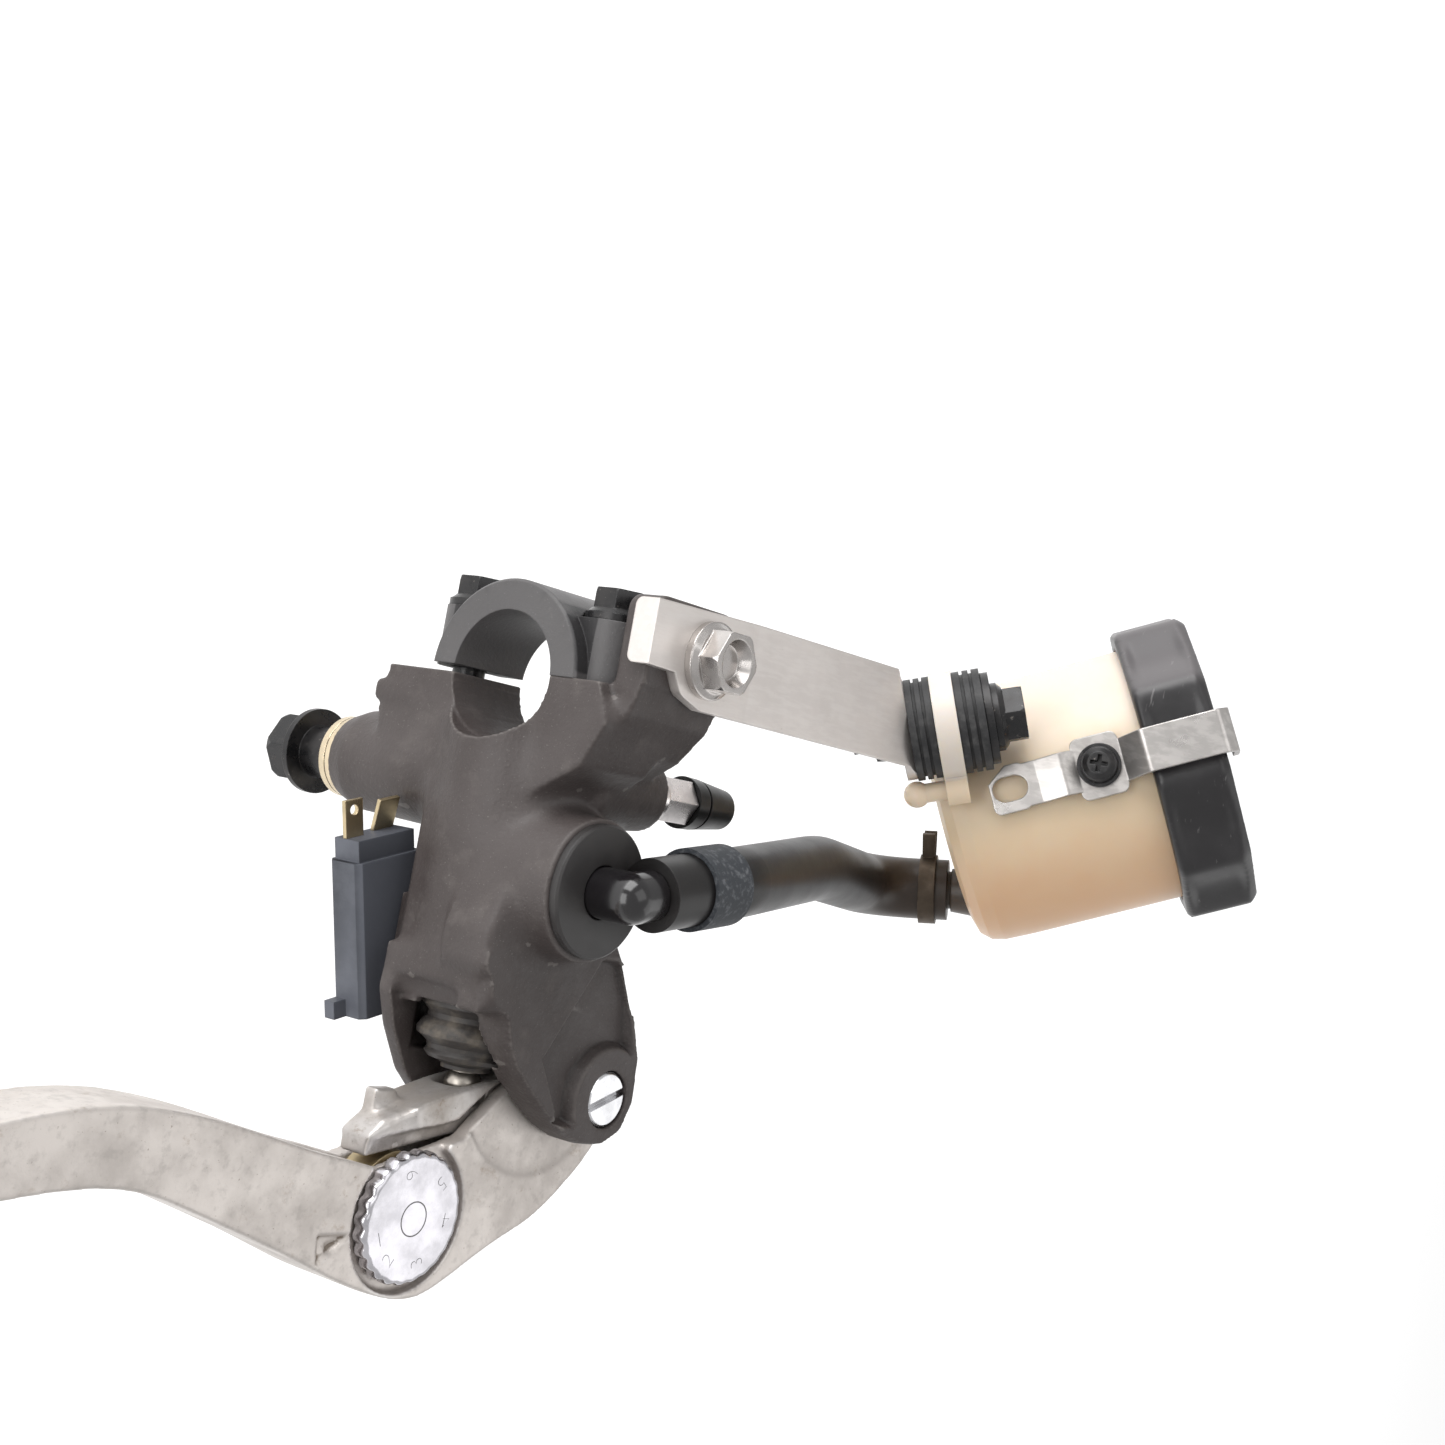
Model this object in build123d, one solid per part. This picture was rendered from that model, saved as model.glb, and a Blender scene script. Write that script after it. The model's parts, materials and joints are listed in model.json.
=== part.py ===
from build123d import *
import math
import os

os.makedirs("parts", exist_ok=True)

# Front brake master cylinder of the radial kind, right-hand side, with a remote
# fluid reservoir.  Millimetres.  Origin: centre of the handlebar clamp bore.
# +X runs outboard along the handlebar, +Y runs forward along the cylinder bore
# toward the lever pivot, +Z points up along the lever pivot pin.

# ---------------------------------------------------------------- dimensions
BAR_D = 22.2            # handlebar diameter held by the clamp
CLAMP_W = 18.0          # clamp width along the bar
RING_R = 16.6           # outside radius of the clamp ring
LUG_TOP = -11.5         # seat of the clamp bolt heads
BOLT_Z = 16.0           # clamp bolts sit at +/- this height from the bar axis
SPLIT_GAP = 1.4         # open side of the clamp joint

BORE_D = 19.0           # cylinder bore
BARREL_R = 13.6         # outside radius of the barrel
BORE_IN = 14.0          # closed end of the bore
BORE_OUT = 58.0         # open end of the bore
PISTON_FRONT = 31.0     # front face of the piston at rest
ROD_TIP = 70.5          # centre of the rounded push rod tip
ROD_TIP_R = 3.2

PIVOT = (-22.5, 70.3)   # lever pivot axis
EAR_IN = 7.6            # inner faces of the two fork ears
EAR_OUT = 14.6
EAR_LOW = 11.1          # outside face of the thinner lower ear          # outer faces of the two fork ears
HUB_Z = 7.3             # half thickness of the lever blade at its pivot
SLOT_Z = 3.4            # half height of the slot that takes the knocker
TAIL_Z = 3.1            # half thickness of the knocker inside that slot

DIAL = (15.0, 91.2)     # adjuster dial axis
DIAL_D = 22.2
DIAL_TOP = 8.4
DIAL_SEAT = 5.2         # floor of the round pocket under the dial
CAM_HIGH = 10.05         # cam radius at position 1
CAM_DROP = 2.93         # radius lost from position 1 to position 6
DIAL_TURN = 277.0       # degrees between positions 1 and 6
REACH = 4.0             # degrees the blade moves over that turn

PORT = (0.0, 33.6)      # reservoir port on top of the barrel
PORT_TOP = 23.2
BANJO_Y = 18.2          # hose outlet, axis parallel to Z
BANJO_END = -39.3
BLEED_Y = 16.0
BLEED_Z = 9.0
BLEED_SEAT = -23.0

PLATE_TOP = 31.0        # top face of the reservoir bracket
PLATE_T = 2.0
BRACKET_BOLT = (-7.6, -7.8)

RES_AXIS = Vector(-0.39, -0.41, 0.825).normalized()
RES_BASE = Vector(-110.6, 10.2, 22.6)
RES_R = 26.2            # outside radius of the reservoir body
CAP_R = 31.4            # outside radius of the reservoir cap
LUG_AXIS = Vector(-0.45, -0.32, 0.834).normalized()
LUG_AT = Vector(-80.6, -8.2, 35.8)
LUG_R = 10.6            # outside radius of the lug ring and of the rubbers
FLANGE_AT = -7.2        # bracket end flange, measured along the lug axis
SPIGOT_DIR = Vector(0.435, 0.12, -0.873).normalized()
SPIGOT_XY = (-6.0, 13.0)
CLIP_AZ = 23.0          # direction of the cap clip around the reservoir

HOSE_R = 6.3            # hose outside radius
HOSE_WALL = 2.3


# ------------------------------------------------------------------- helpers
def rod(p, q, r, r2=None):
    """Cylinder or cone of radius r at p to r2 at q."""
    a = Vector(*p) if not isinstance(p, Vector) else p
    b = Vector(*q) if not isinstance(q, Vector) else q
    d = b - a
    place = Plane(origin=a, z_dir=d.normalized()).location
    if r2 is None:
        body = Cylinder(r, d.length, align=(Align.CENTER, Align.CENTER, Align.MIN))
    else:
        body = Cone(r, r2, d.length, align=(Align.CENTER, Align.CENTER, Align.MIN))
    return place * body


def tube(p, q, ro, ri):
    """Hollow cylinder between p and q."""
    return rod(p, q, ro) - rod(p, q, ri)


def block(x0, x1, y0, y1, z0, z1):
    return Pos((x0 + x1) / 2, (y0 + y1) / 2, (z0 + z1) / 2) * Box(x1 - x0, y1 - y0, z1 - z0)


def slab(points, z0, z1):
    """Straight-edged outline in XY between two heights."""
    face = make_face(Polyline(*[(p[0], p[1]) for p in points], close=True))
    return Pos(0, 0, z0) * extrude(face, z1 - z0)


def slab_x(points, x0, x1):
    """Outline given as (y, z) pairs, extruded along X."""
    pts = [(x0, p[0], p[1]) for p in points]
    face = make_face(Polyline(*pts, close=True))
    return extrude(face, x1 - x0, dir=(1, 0, 0))


def hexagon(p, q, across):
    a = Vector(*p) if not isinstance(p, Vector) else p
    b = Vector(*q) if not isinstance(q, Vector) else q
    d = b - a
    place = Plane(origin=a, z_dir=d.normalized()).location
    outline = RegularPolygon(across / math.sqrt(3), 6)
    return place * extrude(outline, d.length)


def soften(shape, edges, r):
    """Fillet as many of the edges as the kernel accepts."""
    try:
        return fillet(edges, r)
    except Exception:
        return shape


def bevel(shape, edges, r):
    try:
        return chamfer(edges, r)
    except Exception:
        return shape


def frame_at(origin, axis, toward=None):
    """Local frame at origin with its Z along axis and its X toward a point."""
    if toward is None:
        return Plane(origin=origin, z_dir=axis)
    d = toward - origin
    x = d - axis * d.dot(axis)
    return Plane(origin=origin, x_dir=x.normalized(), z_dir=axis)


def flange_bolt(seat, axis, shank_r, length, flange_r, across, head_h, dish=0.0):
    """Hex bolt with a built-in washer; seat is the point under the flange."""
    n = Vector(*axis).normalized() if not isinstance(axis, Vector) else axis
    p = Vector(*seat) if not isinstance(seat, Vector) else seat
    head = rod(p, p + n * 1.3, flange_r) + rod(p + n * 1.29, p + n * 2.2, flange_r * 0.97, across * 0.56)
    top = hexagon(p + n * 0.5, p + n * head_h, across)
    top = top & rod(p, p + n * (head_h + 3.0), across * 0.72, across * 0.46)
    head = head + top
    if dish > 0:
        head = head - rod(p + n * (head_h - dish), p + n * (head_h + 0.2), across * 0.30, across * 0.42)
    return head + rod(p - n * length, p + n * 0.5, shank_r)


# --------------------------------------------------------- reservoir frames
RES_PLANE = frame_at(RES_BASE, RES_AXIS, LUG_AT)       # local X toward the lug
LUG_PLANE = frame_at(LUG_AT, LUG_AXIS, RES_BASE)


def res_local(shape):
    return RES_PLANE.location * shape


# ------------------------------------------------------------------- housing
def fork_outline():
    return [
        (13.0, 34.0), (16.0, 43.0), (15.6, 49.0), (9.6, 53.4), (7.6, 57.6), (6.2, 61.4), (3.6, 65.0),
        (-0.4, 68.4), (-5.6, 72.4), (-11.5, 76.2), (-16.5, 78.2), (-22.4, 78.6), (-27.6, 76.0),
        (-29.8, 71.0), (-29.4, 63.0), (-25.5, 54.0), (-20.9, 46.0), (-13.0, 36.0),
    ]


def low_outline():
    return [
        (2.0, 44.0), (5.6, 48.4), (12.8, 51.4), (13.8, 56.0), (11.2, 62.6), (6.4, 70.2), (2.0, 74.0),
        (-5.7, 77.4), (-15.5, 78.9), (-22.4, 78.6), (-27.6, 76.0), (-29.8, 71.0), (-29.4, 63.0),
        (-25.5, 54.0), (-18.0, 45.0), (-8.0, 42.0),
    ]


def housing():
    half = CLAMP_W / 2
    body = rod((0, 6, 0), (0, 56.5, 0), BARREL_R)
    # saddle and the two clamp lugs
    body += slab_x([(0.7, -26.8), (0.7, -9.0), (5.0, 0.0), (-0.7, 9.0), (-0.7, 22.2), (6.0, 25.0),
                    (13.6, 21.0), (19.0, 12.0), (24.0, 6.0), (24.0, -12.0), (20.0, -25.5),
                    (9.0, -28.0)], -half, half)
    # tower that carries the reservoir bracket
    tower = slab_x([(-16.6, 22.6), (-16.6, 29.0), (-2.5, 29.0), (4.0, 27.0), (10.0, 22.0), (14.5, 15.0),
                    (20.0, 10.0), (16.0, 0.0), (6.0, 8.0), (-0.6, 22.4), (-0.6, 22.6)], -16.2, 6.2)
    tower = soften(tower, tower.edges().filter_by(Axis.Z), 3.0)
    body += tower
    # outlet boss for the brake hose
    body += rod((0, BANJO_Y, -5), (0, BANJO_Y, BANJO_END + 4.0), 10.4, 9.3)
    body += rod((0, BANJO_Y, BANJO_END + 4.1), (0, BANJO_Y, BANJO_END), 9.3, 7.9)
    # small slotted lug beside the outlet
    stub = block(3.6, 9.6, 3.4, 7.4, -29.0, -20.5)
    stub = soften(stub, stub.edges().filter_by(Axis.Z), 1.2)
    body += stub
    # bleeder boss
    body += rod((-4, BLEED_Y, BLEED_Z), (BLEED_SEAT, BLEED_Y, BLEED_Z), 8.4, 6.7)
    # reservoir port boss
    body += rod((PORT[0], PORT[1], 0), (PORT[0], PORT[1], PORT_TOP - 1.7), 13.4, 12.2)
    # fork ears
    up = slab(fork_outline(), 4.0, EAR_OUT)
    up = soften(up, up.edges().filter_by(Axis.Z), 2.5)
    up = soften(up, up.faces().sort_by(Axis.Z)[-1].edges(), 1.6)
    low = slab(low_outline(), -EAR_LOW, -4.0)
    low = soften(low, low.edges().filter_by(Axis.Z), 2.5)
    low = soften(low, low.faces().sort_by(Axis.Z)[0].edges(), 1.2)
    body += up
    body += low
    # pad under the lower ear for the brake light switch
    body += slab([(-9.0, 40.0), (8.0, 40.0), (8.0, 55.0), (5.0, 57.5), (-9.0, 57.5)], -EAR_OUT, -4.0)
    # raised deck around the end of the barrel
    body += block(-14.0, 13.6, 48.0, 56.5, -EAR_LOW + 0.6, EAR_OUT - 2.0)
    # side rib along the barrel
    rib = Pos(0, 37.0, 0) * Rot(0, 53, 0) * Pos(12.6, 0, 0) * Box(4.4, 34.0, 6.0)
    body += rib
    # fork slot
    slot = slab([(60.0, 57.5), (60.0, 110.0), (-60.0, 110.0), (-60.0, 57.5)], -EAR_IN, EAR_IN)
    body -= slot
    body -= block(11.0, 40.0, 53.0, 60.0, -EAR_IN, EAR_IN)
    body -= rod((0, 56.0, 0), (0, 66.0, 0), 10.0)
    # triangular relief on the upper ear
    relief = slab([(-12.5, 47.5), (-18.3, 48.2), (-25.0, 61.5), (-7.0, 61.5)], EAR_OUT - 1.3, EAR_OUT + 1)
    relief = soften(relief, relief.edges().filter_by(Axis.Z), 1.2)
    body -= relief
    # bar bore
    body -= rod((-20, 0, 0), (20, 0, 0), BAR_D / 2)
    body -= rod((half, 0, 0), (20, 0, 0), BAR_D / 2 + 0.4)
    body -= rod((-20, 0, 0), (-half, 0, 0), BAR_D / 2 + 0.4)
    # cylinder bore, snap ring groove, boot seat
    body -= rod((0, BORE_IN, 0), (0, 60.0, 0), BORE_D / 2)
    body -= rod((0, 54.2, 0), (0, 55.5, 0), BORE_D / 2 + 1.0)
    # outlet drilling
    body -= rod((0, BANJO_Y, BANJO_END - 1), (0, BANJO_Y, -24.0), 5.0)
    body -= rod((0, BANJO_Y, -25.0), (0, BANJO_Y, -6.0), 2.0)
    # bleeder drilling
    body -= rod((BLEED_SEAT - 1, BLEED_Y, BLEED_Z), (-13.0, BLEED_Y, BLEED_Z), 3.9)
    body -= rod((-15.0, BLEED_Y, BLEED_Z), (-3.0, BLEED_Y + 3.0, 6.0), 1.2)
    # reservoir port well and compensating holes
    body -= rod((PORT[0], PORT[1], 12.6), (PORT[0], PORT[1], PORT_TOP), 7.0)
    body -= rod((PORT[0], PORT[1], PORT_TOP - 3.6), (PORT[0], PORT[1], PORT_TOP), 9.0)
    body -= rod((PORT[0], PORT[1] + 3.0, 8.0), (PORT[0], PORT[1] + 3.0, 13.0), 1.5)
    body -= rod((PORT[0], PORT[1] - 4.0, 8.0), (PORT[0], PORT[1] - 4.0, 13.0), 0.6)
    # pivot pin hole and head recess
    body -= rod((PIVOT[0], PIVOT[1], -20), (PIVOT[0], PIVOT[1], 20), 3.05)
    body -= rod((PIVOT[0], PIVOT[1], EAR_OUT - 2.4), (PIVOT[0], PIVOT[1], 20), 5.2)
    # clamp bolt threads
    for z in (-BOLT_Z, BOLT_Z):
        body -= rod((0, -3, z), (0, 13.5, z), 3.0)
    # bracket bolt thread
    body -= rod((BRACKET_BOLT[0], BRACKET_BOLT[1], 22.0), (BRACKET_BOLT[0], BRACKET_BOLT[1], 31), 3.0)
    # switch screw thread
    body -= rod((4.5, 51.0, -EAR_OUT - 1), (4.5, 51.0, -9.8), 2.0)
    return body


# --------------------------------------------------------------- clamp parts
def clamp_cap():
    half = CLAMP_W / 2
    ring = rod((-half, 0, 0), (half, 0, 0), RING_R)
    lugs = None
    for side in (-1, 1):
        lug = rod((0, LUG_TOP, side * BOLT_Z), (0, -0.7, side * BOLT_Z), 5.8)
        lug += block(-5.8, 5.8, LUG_TOP, -0.7, min(side * 4, side * BOLT_Z), max(side * 4, side * BOLT_Z))
        lugs = lug if lugs is None else lugs + lug
    cap = ring + lugs
    cap &= block(-20, 20, -30, -0.7, -40, 40)
    cap = bevel(cap, cap.faces().sort_by(Axis.X)[-1].edges().filter_by(GeomType.CIRCLE), 0.5)
    cap -= rod((-20, 0, 0), (20, 0, 0), BAR_D / 2)
    for side in (-1, 1):
        cap -= rod((0, -20, side * BOLT_Z), (0, LUG_TOP, side * BOLT_Z), 5.9)
        cap -= rod((0, -20, side * BOLT_Z), (0, 0, side * BOLT_Z), 3.3)
    return cap


def clamp_bolts():
    bolts = []
    for side in (-1, 1):
        bolts.append(flange_bolt((0, LUG_TOP, side * BOLT_Z), (0, -1, 0), 2.95, 24.0, 5.6, 8.0, 5.6, dish=0.8))
    return Compound(bolts)


# -------------------------------------------------------- hose outlet pieces
def banjo_bolt():
    return flange_bolt((0, BANJO_Y, -50.5), (0, 0, -1), 4.95, 23.0, 8.0, 12.0, 7.5, dish=1.2)


def banjo_washers():
    first = tube((0, BANJO_Y, BANJO_END), (0, BANJO_Y, BANJO_END - 1.4), 7.5, 5.1)
    second = tube((0, BANJO_Y, BANJO_END - 1.6), (0, BANJO_Y, BANJO_END - 3.0), 7.5, 5.1)
    return Compound([first, second])


# ------------------------------------------------------------------- bleeder
def bleeder_screw():
    y, z = BLEED_Y, BLEED_Z
    body = rod((-13.6, y, z), (BLEED_SEAT - 0.2, y, z), 3.85)
    body += rod((BLEED_SEAT - 0.2, y, z), (BLEED_SEAT - 2.4, y, z), 5.3)
    body += rod((BLEED_SEAT - 2.3, y, z), (BLEED_SEAT - 3.2, y, z), 4.4)
    body += hexagon((BLEED_SEAT - 3.1, y, z), (BLEED_SEAT - 12.0, y, z), 8.0)
    body += rod((BLEED_SEAT - 12.0, y, z), (BLEED_SEAT - 20.5, y, z), 3.0, 2.6)
    body += rod((BLEED_SEAT - 18.0, y, z), (BLEED_SEAT - 20.5, y, z), 3.4, 2.4)
    body -= rod((-17.0, y, z), (BLEED_SEAT - 30.0, y, z), 0.9)
    return body


def bleeder_cap():
    y, z = BLEED_Y, BLEED_Z
    a = BLEED_SEAT - 12.2
    body = rod((a, y, z), (a - 3.2, y, z), 4.9, 4.8)
    body += rod((a - 3.1, y, z), (a - 4.0, y, z), 4.2)
    body += rod((a - 3.9, y, z), (a - 13.2, y, z), 4.7, 3.7)
    body = bevel(body, body.faces().sort_by(Axis.X)[0].edges(), 1.0)
    body -= rod((a + 0.1, y, z), (a - 5.4, y, z), 3.15)
    body -= rod((a - 5.3, y, z), (a - 9.0, y, z), 3.5)
    return body


# ------------------------------------------------------------ reservoir port
def port_cover():
    x, y = PORT
    disc = tube((x, y, PORT_TOP - 1.7), (x, y, PORT_TOP), 11.4, 4.6)
    top = disc.faces().sort_by(Axis.Z)[-1].edges().sort_by(SortBy.LENGTH)[-1:]
    return bevel(disc, top, 0.4)


ELBOW_Z = 29.5
HOSE_DIR = Vector(-1.0, -0.18, 0.0).normalized()
HOSE_START = Vector(PORT[0], PORT[1], ELBOW_Z) + HOSE_DIR * 5.1


def port_elbow():
    x, y = PORT
    stem = rod((x, y, 14.2), (x, y, PORT_TOP - 1.8), 6.4)
    stem += rod((x, y, PORT_TOP - 3.5), (x, y, PORT_TOP - 1.8), 8.7)
    stem += rod((x, y, PORT_TOP - 2.0), (x, y, ELBOW_Z), 4.4)
    stem += Pos(x, y, ELBOW_Z) * Sphere(4.4)
    stem += rod((x, y, ELBOW_Z), HOSE_START + HOSE_DIR * -0.2, 4.4)
    stem += rod(HOSE_START + HOSE_DIR * -0.3, HOSE_START + HOSE_DIR * 13.0, 3.9)
    stem -= tube((x, y, 16.0), (x, y, 18.6), 7.0, 4.9)
    stem -= rod((x, y, 13.0), (x, y, ELBOW_Z), 2.6)
    stem -= rod((x, y, ELBOW_Z), HOSE_START + HOSE_DIR * 14.0, 2.6)
    return stem


def port_o_ring():
    ring = Torus(5.9, 1.0)
    return Pos(PORT[0], PORT[1], 17.3) * ring


# --------------------------------------------------------------------- hose
def spigot_root():
    p = RES_PLANE.from_local_coords(Vector(SPIGOT_XY[0], SPIGOT_XY[1], 0.0))
    return p


def hose_line():
    end = spigot_root() + SPIGOT_DIR * 3.8
    knee = spigot_root() + SPIGOT_DIR * 20.0
    first = HOSE_START + HOSE_DIR * 22.5
    dip = Vector(-68.0, 23.6, 19.5)
    return FilletPolyline(HOSE_START, first, dip, knee, end, radius=(24.0, 50.0, 13.0))


def hose():
    line = hose_line()
    start = Plane(origin=line @ 0, z_dir=line % 0)
    ring = start * (Circle(HOSE_R) - Circle(HOSE_R - HOSE_WALL))
    return sweep(ring, path=line)


def hose_band_clamp():
    p = HOSE_START + HOSE_DIR * 9.6
    q = HOSE_START + HOSE_DIR * 19.4
    band = tube(p, q, HOSE_R + 0.9, HOSE_R + 0.05)
    return band


def hose_spring_clip():
    root = spigot_root()
    p = root + SPIGOT_DIR * 6.2
    q = root + SPIGOT_DIR * 9.6
    band = tube(p, q, HOSE_R + 0.9, HOSE_R + 0.05)
    plane = Plane(origin=p, x_dir=Vector(0.2, -0.95, -0.2), z_dir=SPIGOT_DIR)
    ear = Pos(HOSE_R + 3.2, 0, 1.7) * Box(5.6, 1.0, 2.6)
    band += plane.location * Rot(0, 0, 12) * ear
    band += plane.location * Rot(0, 0, -16) * ear
    return band


# ----------------------------------------------------------------- reservoir
def ring_of(points):
    """Solid of revolution from (radius, height) pairs about the local Z axis."""
    face = make_face(Polyline(*[(p[0], 0, p[1]) for p in points], close=True))
    return revolve(face, Axis.Z)


RES_TOP = 46.5
CAP_Z0 = 42.5
CAP_Z1 = 57.0


def lug_peg_local():
    """Where the locating peg stands, in the lug frame."""
    p = Vector(-82.2, 4.6, 36.2) - LUG_AT
    return (p.dot(LUG_PLANE.x_dir), p.dot(LUG_PLANE.y_dir))


def reservoir_body():
    outer = ring_of([(0, 0), (20.5, 0), (23.6, 0.9), (25.3, 2.8), (26.0, 5.6), (26.2, 12), (26.2, RES_TOP),
                     (0, RES_TOP)])
    body = res_local(outer)
    lug = Cylinder(LUG_R, 4.4)
    web = Pos(8.5, 0, 0) * Box(17.0, 15.0, 4.4)
    px, py = lug_peg_local()
    peg_pad = Pos(px, py, 0) * Cylinder(3.2, 4.4)
    peg_web = Pos(px / 2 + 2.0, py / 2, 0) * Rot(0, 0, math.degrees(math.atan2(py, px - 4.0))) * Box(9.0, 6.4, 4.4)
    peg = Pos(px, py, -4.2) * Cylinder(1.9, 5.0)
    ball = Pos(px, py, -8.0) * Sphere(2.6)
    body += LUG_PLANE.location * (lug + web + peg_pad + peg_web + peg + ball)
    body += rod(spigot_root() - SPIGOT_DIR * 3.0, spigot_root() + SPIGOT_DIR * 3.0, 5.4, 4.5)
    body += rod(spigot_root(), spigot_root() + SPIGOT_DIR * 11.5, 3.9)
    inner = ring_of([(0, 2.6), (19.5, 2.6), (22.2, 3.6), (23.6, 5.6), (24.0, 9), (24.0, RES_TOP + 1),
                     (0, RES_TOP + 1)])
    body -= res_local(inner)
    body -= LUG_PLANE.location * Cylinder(7.0, 10.0)
    body -= rod(spigot_root() - SPIGOT_DIR * 9.0, spigot_root() + SPIGOT_DIR * 16.0, 2.5)
    # boss for the clip screw
    az = math.radians(CLIP_AZ)
    out = RES_PLANE.from_local_coords(Vector(27.2 * math.cos(az), 27.2 * math.sin(az), 33.0))
    mid = RES_PLANE.from_local_coords(Vector(25.0 * math.cos(az), 25.0 * math.sin(az), 33.0))
    inw = RES_PLANE.from_local_coords(Vector(22.5 * math.cos(az), 22.5 * math.sin(az), 33.0))
    body += rod(inw, out, 4.6)
    body -= rod(mid - (out - mid) * 0.5, out + (out - mid), 2.0)
    return body


def reservoir_cap():
    outline = RegularPolygon(CAP_R, 10)
    grip = Pos(0, 0, CAP_Z0) * extrude(outline, CAP_Z1 - CAP_Z0)
    grip = soften(grip, grip.edges().filter_by(Axis.Z), 5.0)
    grip = bevel(grip, grip.faces().sort_by(Axis.Z)[-1].edges(), 1.6)
    grip = bevel(grip, grip.faces().sort_by(Axis.Z)[0].edges(), 0.8)
    grip -= Pos(0, 0, CAP_Z0 - 1) * Cylinder(26.6, 11.4, align=(Align.CENTER, Align.CENTER, Align.MIN))
    grip -= Pos(0, 0, CAP_Z0 + 5) * Cylinder(22.0, 7.0, align=(Align.CENTER, Align.CENTER, Align.MIN))
    return res_local(grip)


def diaphragm():
    shell = ring_of([(25.9, RES_TOP), (25.9, RES_TOP + 1.6), (19.2, RES_TOP + 1.6), (19.2, 30.0), (16.5, 27.5),
                     (7.0, 27.5), (0, 27.5), (0, 26.2), (7.0, 26.2), (17.1, 26.2), (20.6, 29.4),
                     (20.6, RES_TOP - 1.4), (23.7, RES_TOP - 1.4), (23.7, RES_TOP)])
    return res_local(shell)


def diaphragm_plate():
    plate = ring_of([(25.8, RES_TOP + 1.7), (25.8, RES_TOP + 3.4), (21.0, RES_TOP + 4.4), (0, RES_TOP + 4.4),
                     (0, RES_TOP + 2.9), (20.0, RES_TOP + 2.9), (20.4, RES_TOP + 1.7)])
    plate -= Pos(0, 0, RES_TOP) * Cylinder(1.2, 8.0, align=(Align.CENTER, Align.CENTER, Align.MIN))
    return res_local(plate)


def strap_piece(r0, z0, r1, z1, width, t=1.3):
    """Flat strap between two (radius, height) points of the clip profile."""
    d = math.hypot(r1 - r0, z1 - z0)
    ang = math.degrees(math.atan2(z1 - z0, r1 - r0))
    bar = Pos(d / 2, 0, t / 2) * Box(d, width, t)
    return Pos(r0, 0, z0) * Rot(0, -ang, 0) * bar


def cap_clip():
    line = [(28.0, 12.0), (28.0, 21.0), (29.2, 26.0), (27.9, 28.6), (27.9, 38.0), (32.3, 42.3), (32.3, 57.0),
            (30.8, 58.8), (25.2, 58.8)]
    pts = [(p[0], 0, p[1]) for p in line]
    route = FilletPolyline(*pts, radius=0.9)
    start = Plane(origin=route @ 0, x_dir=(0, 1, 0), z_dir=route % 0)
    strap = sweep(start * Rectangle(8.6, 1.2), path=route)
    pad = Pos(27.9, 0, 33.0) * Rot(0, 90, 0) * extrude(RectangleRounded(9.4, 12.4, 1.6), 0.6, both=True)
    strap += pad
    end = Pos(28.0, 0, 15.0) * Rot(0, 90, 0) * extrude(RectangleRounded(7.6, 9.4, 1.5), 0.6, both=True)
    strap += end
    strap -= Pos(28.0, 0, 15.2) * Rot(0, 90, 0) * extrude(SlotOverall(7.0, 5.0), 3, both=True)
    strap -= Pos(27.9, 0, 33.0) * Rot(0, 90, 0) * extrude(Circle(2.2), 3, both=True)
    # one corner of the slotted end is cut away beside the rubber mount
    strap -= Pos(28.0, -5.3, 12.6) * Rot(38, 0, 0) * Box(6.0, 4.0, 10.0)
    return res_local(Rot(0, 0, CLIP_AZ) * strap)


def clip_point(r, z):
    az = math.radians(CLIP_AZ)
    return RES_PLANE.from_local_coords(Vector(r * math.cos(az), r * math.sin(az), z))


def clip_washer():
    return tube(clip_point(28.55, 33.0), clip_point(29.45, 33.0), 4.3, 2.2)


def clip_screw():
    seat = clip_point(29.5, 33.0)
    out = (clip_point(40.0, 33.0) - seat).normalized()
    head = rod(seat, seat + out * 1.6, 3.7, 3.4) + rod(seat + out * 1.5, seat + out * 2.5, 3.3, 2.2)
    screw = head + rod(seat - out * 5.2, seat + out * 0.5, 1.95)
    plane = frame_at(seat + out * 2.5, out)
    cross = Pos(0, 0, -0.7) * (Box(3.4, 0.8, 1.5) + Box(0.8, 3.4, 1.5))
    return screw - plane.location * cross


# ------------------------------------------------------------------- bracket
def lug_point(s):
    return LUG_AT + LUG_AXIS * s


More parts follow.
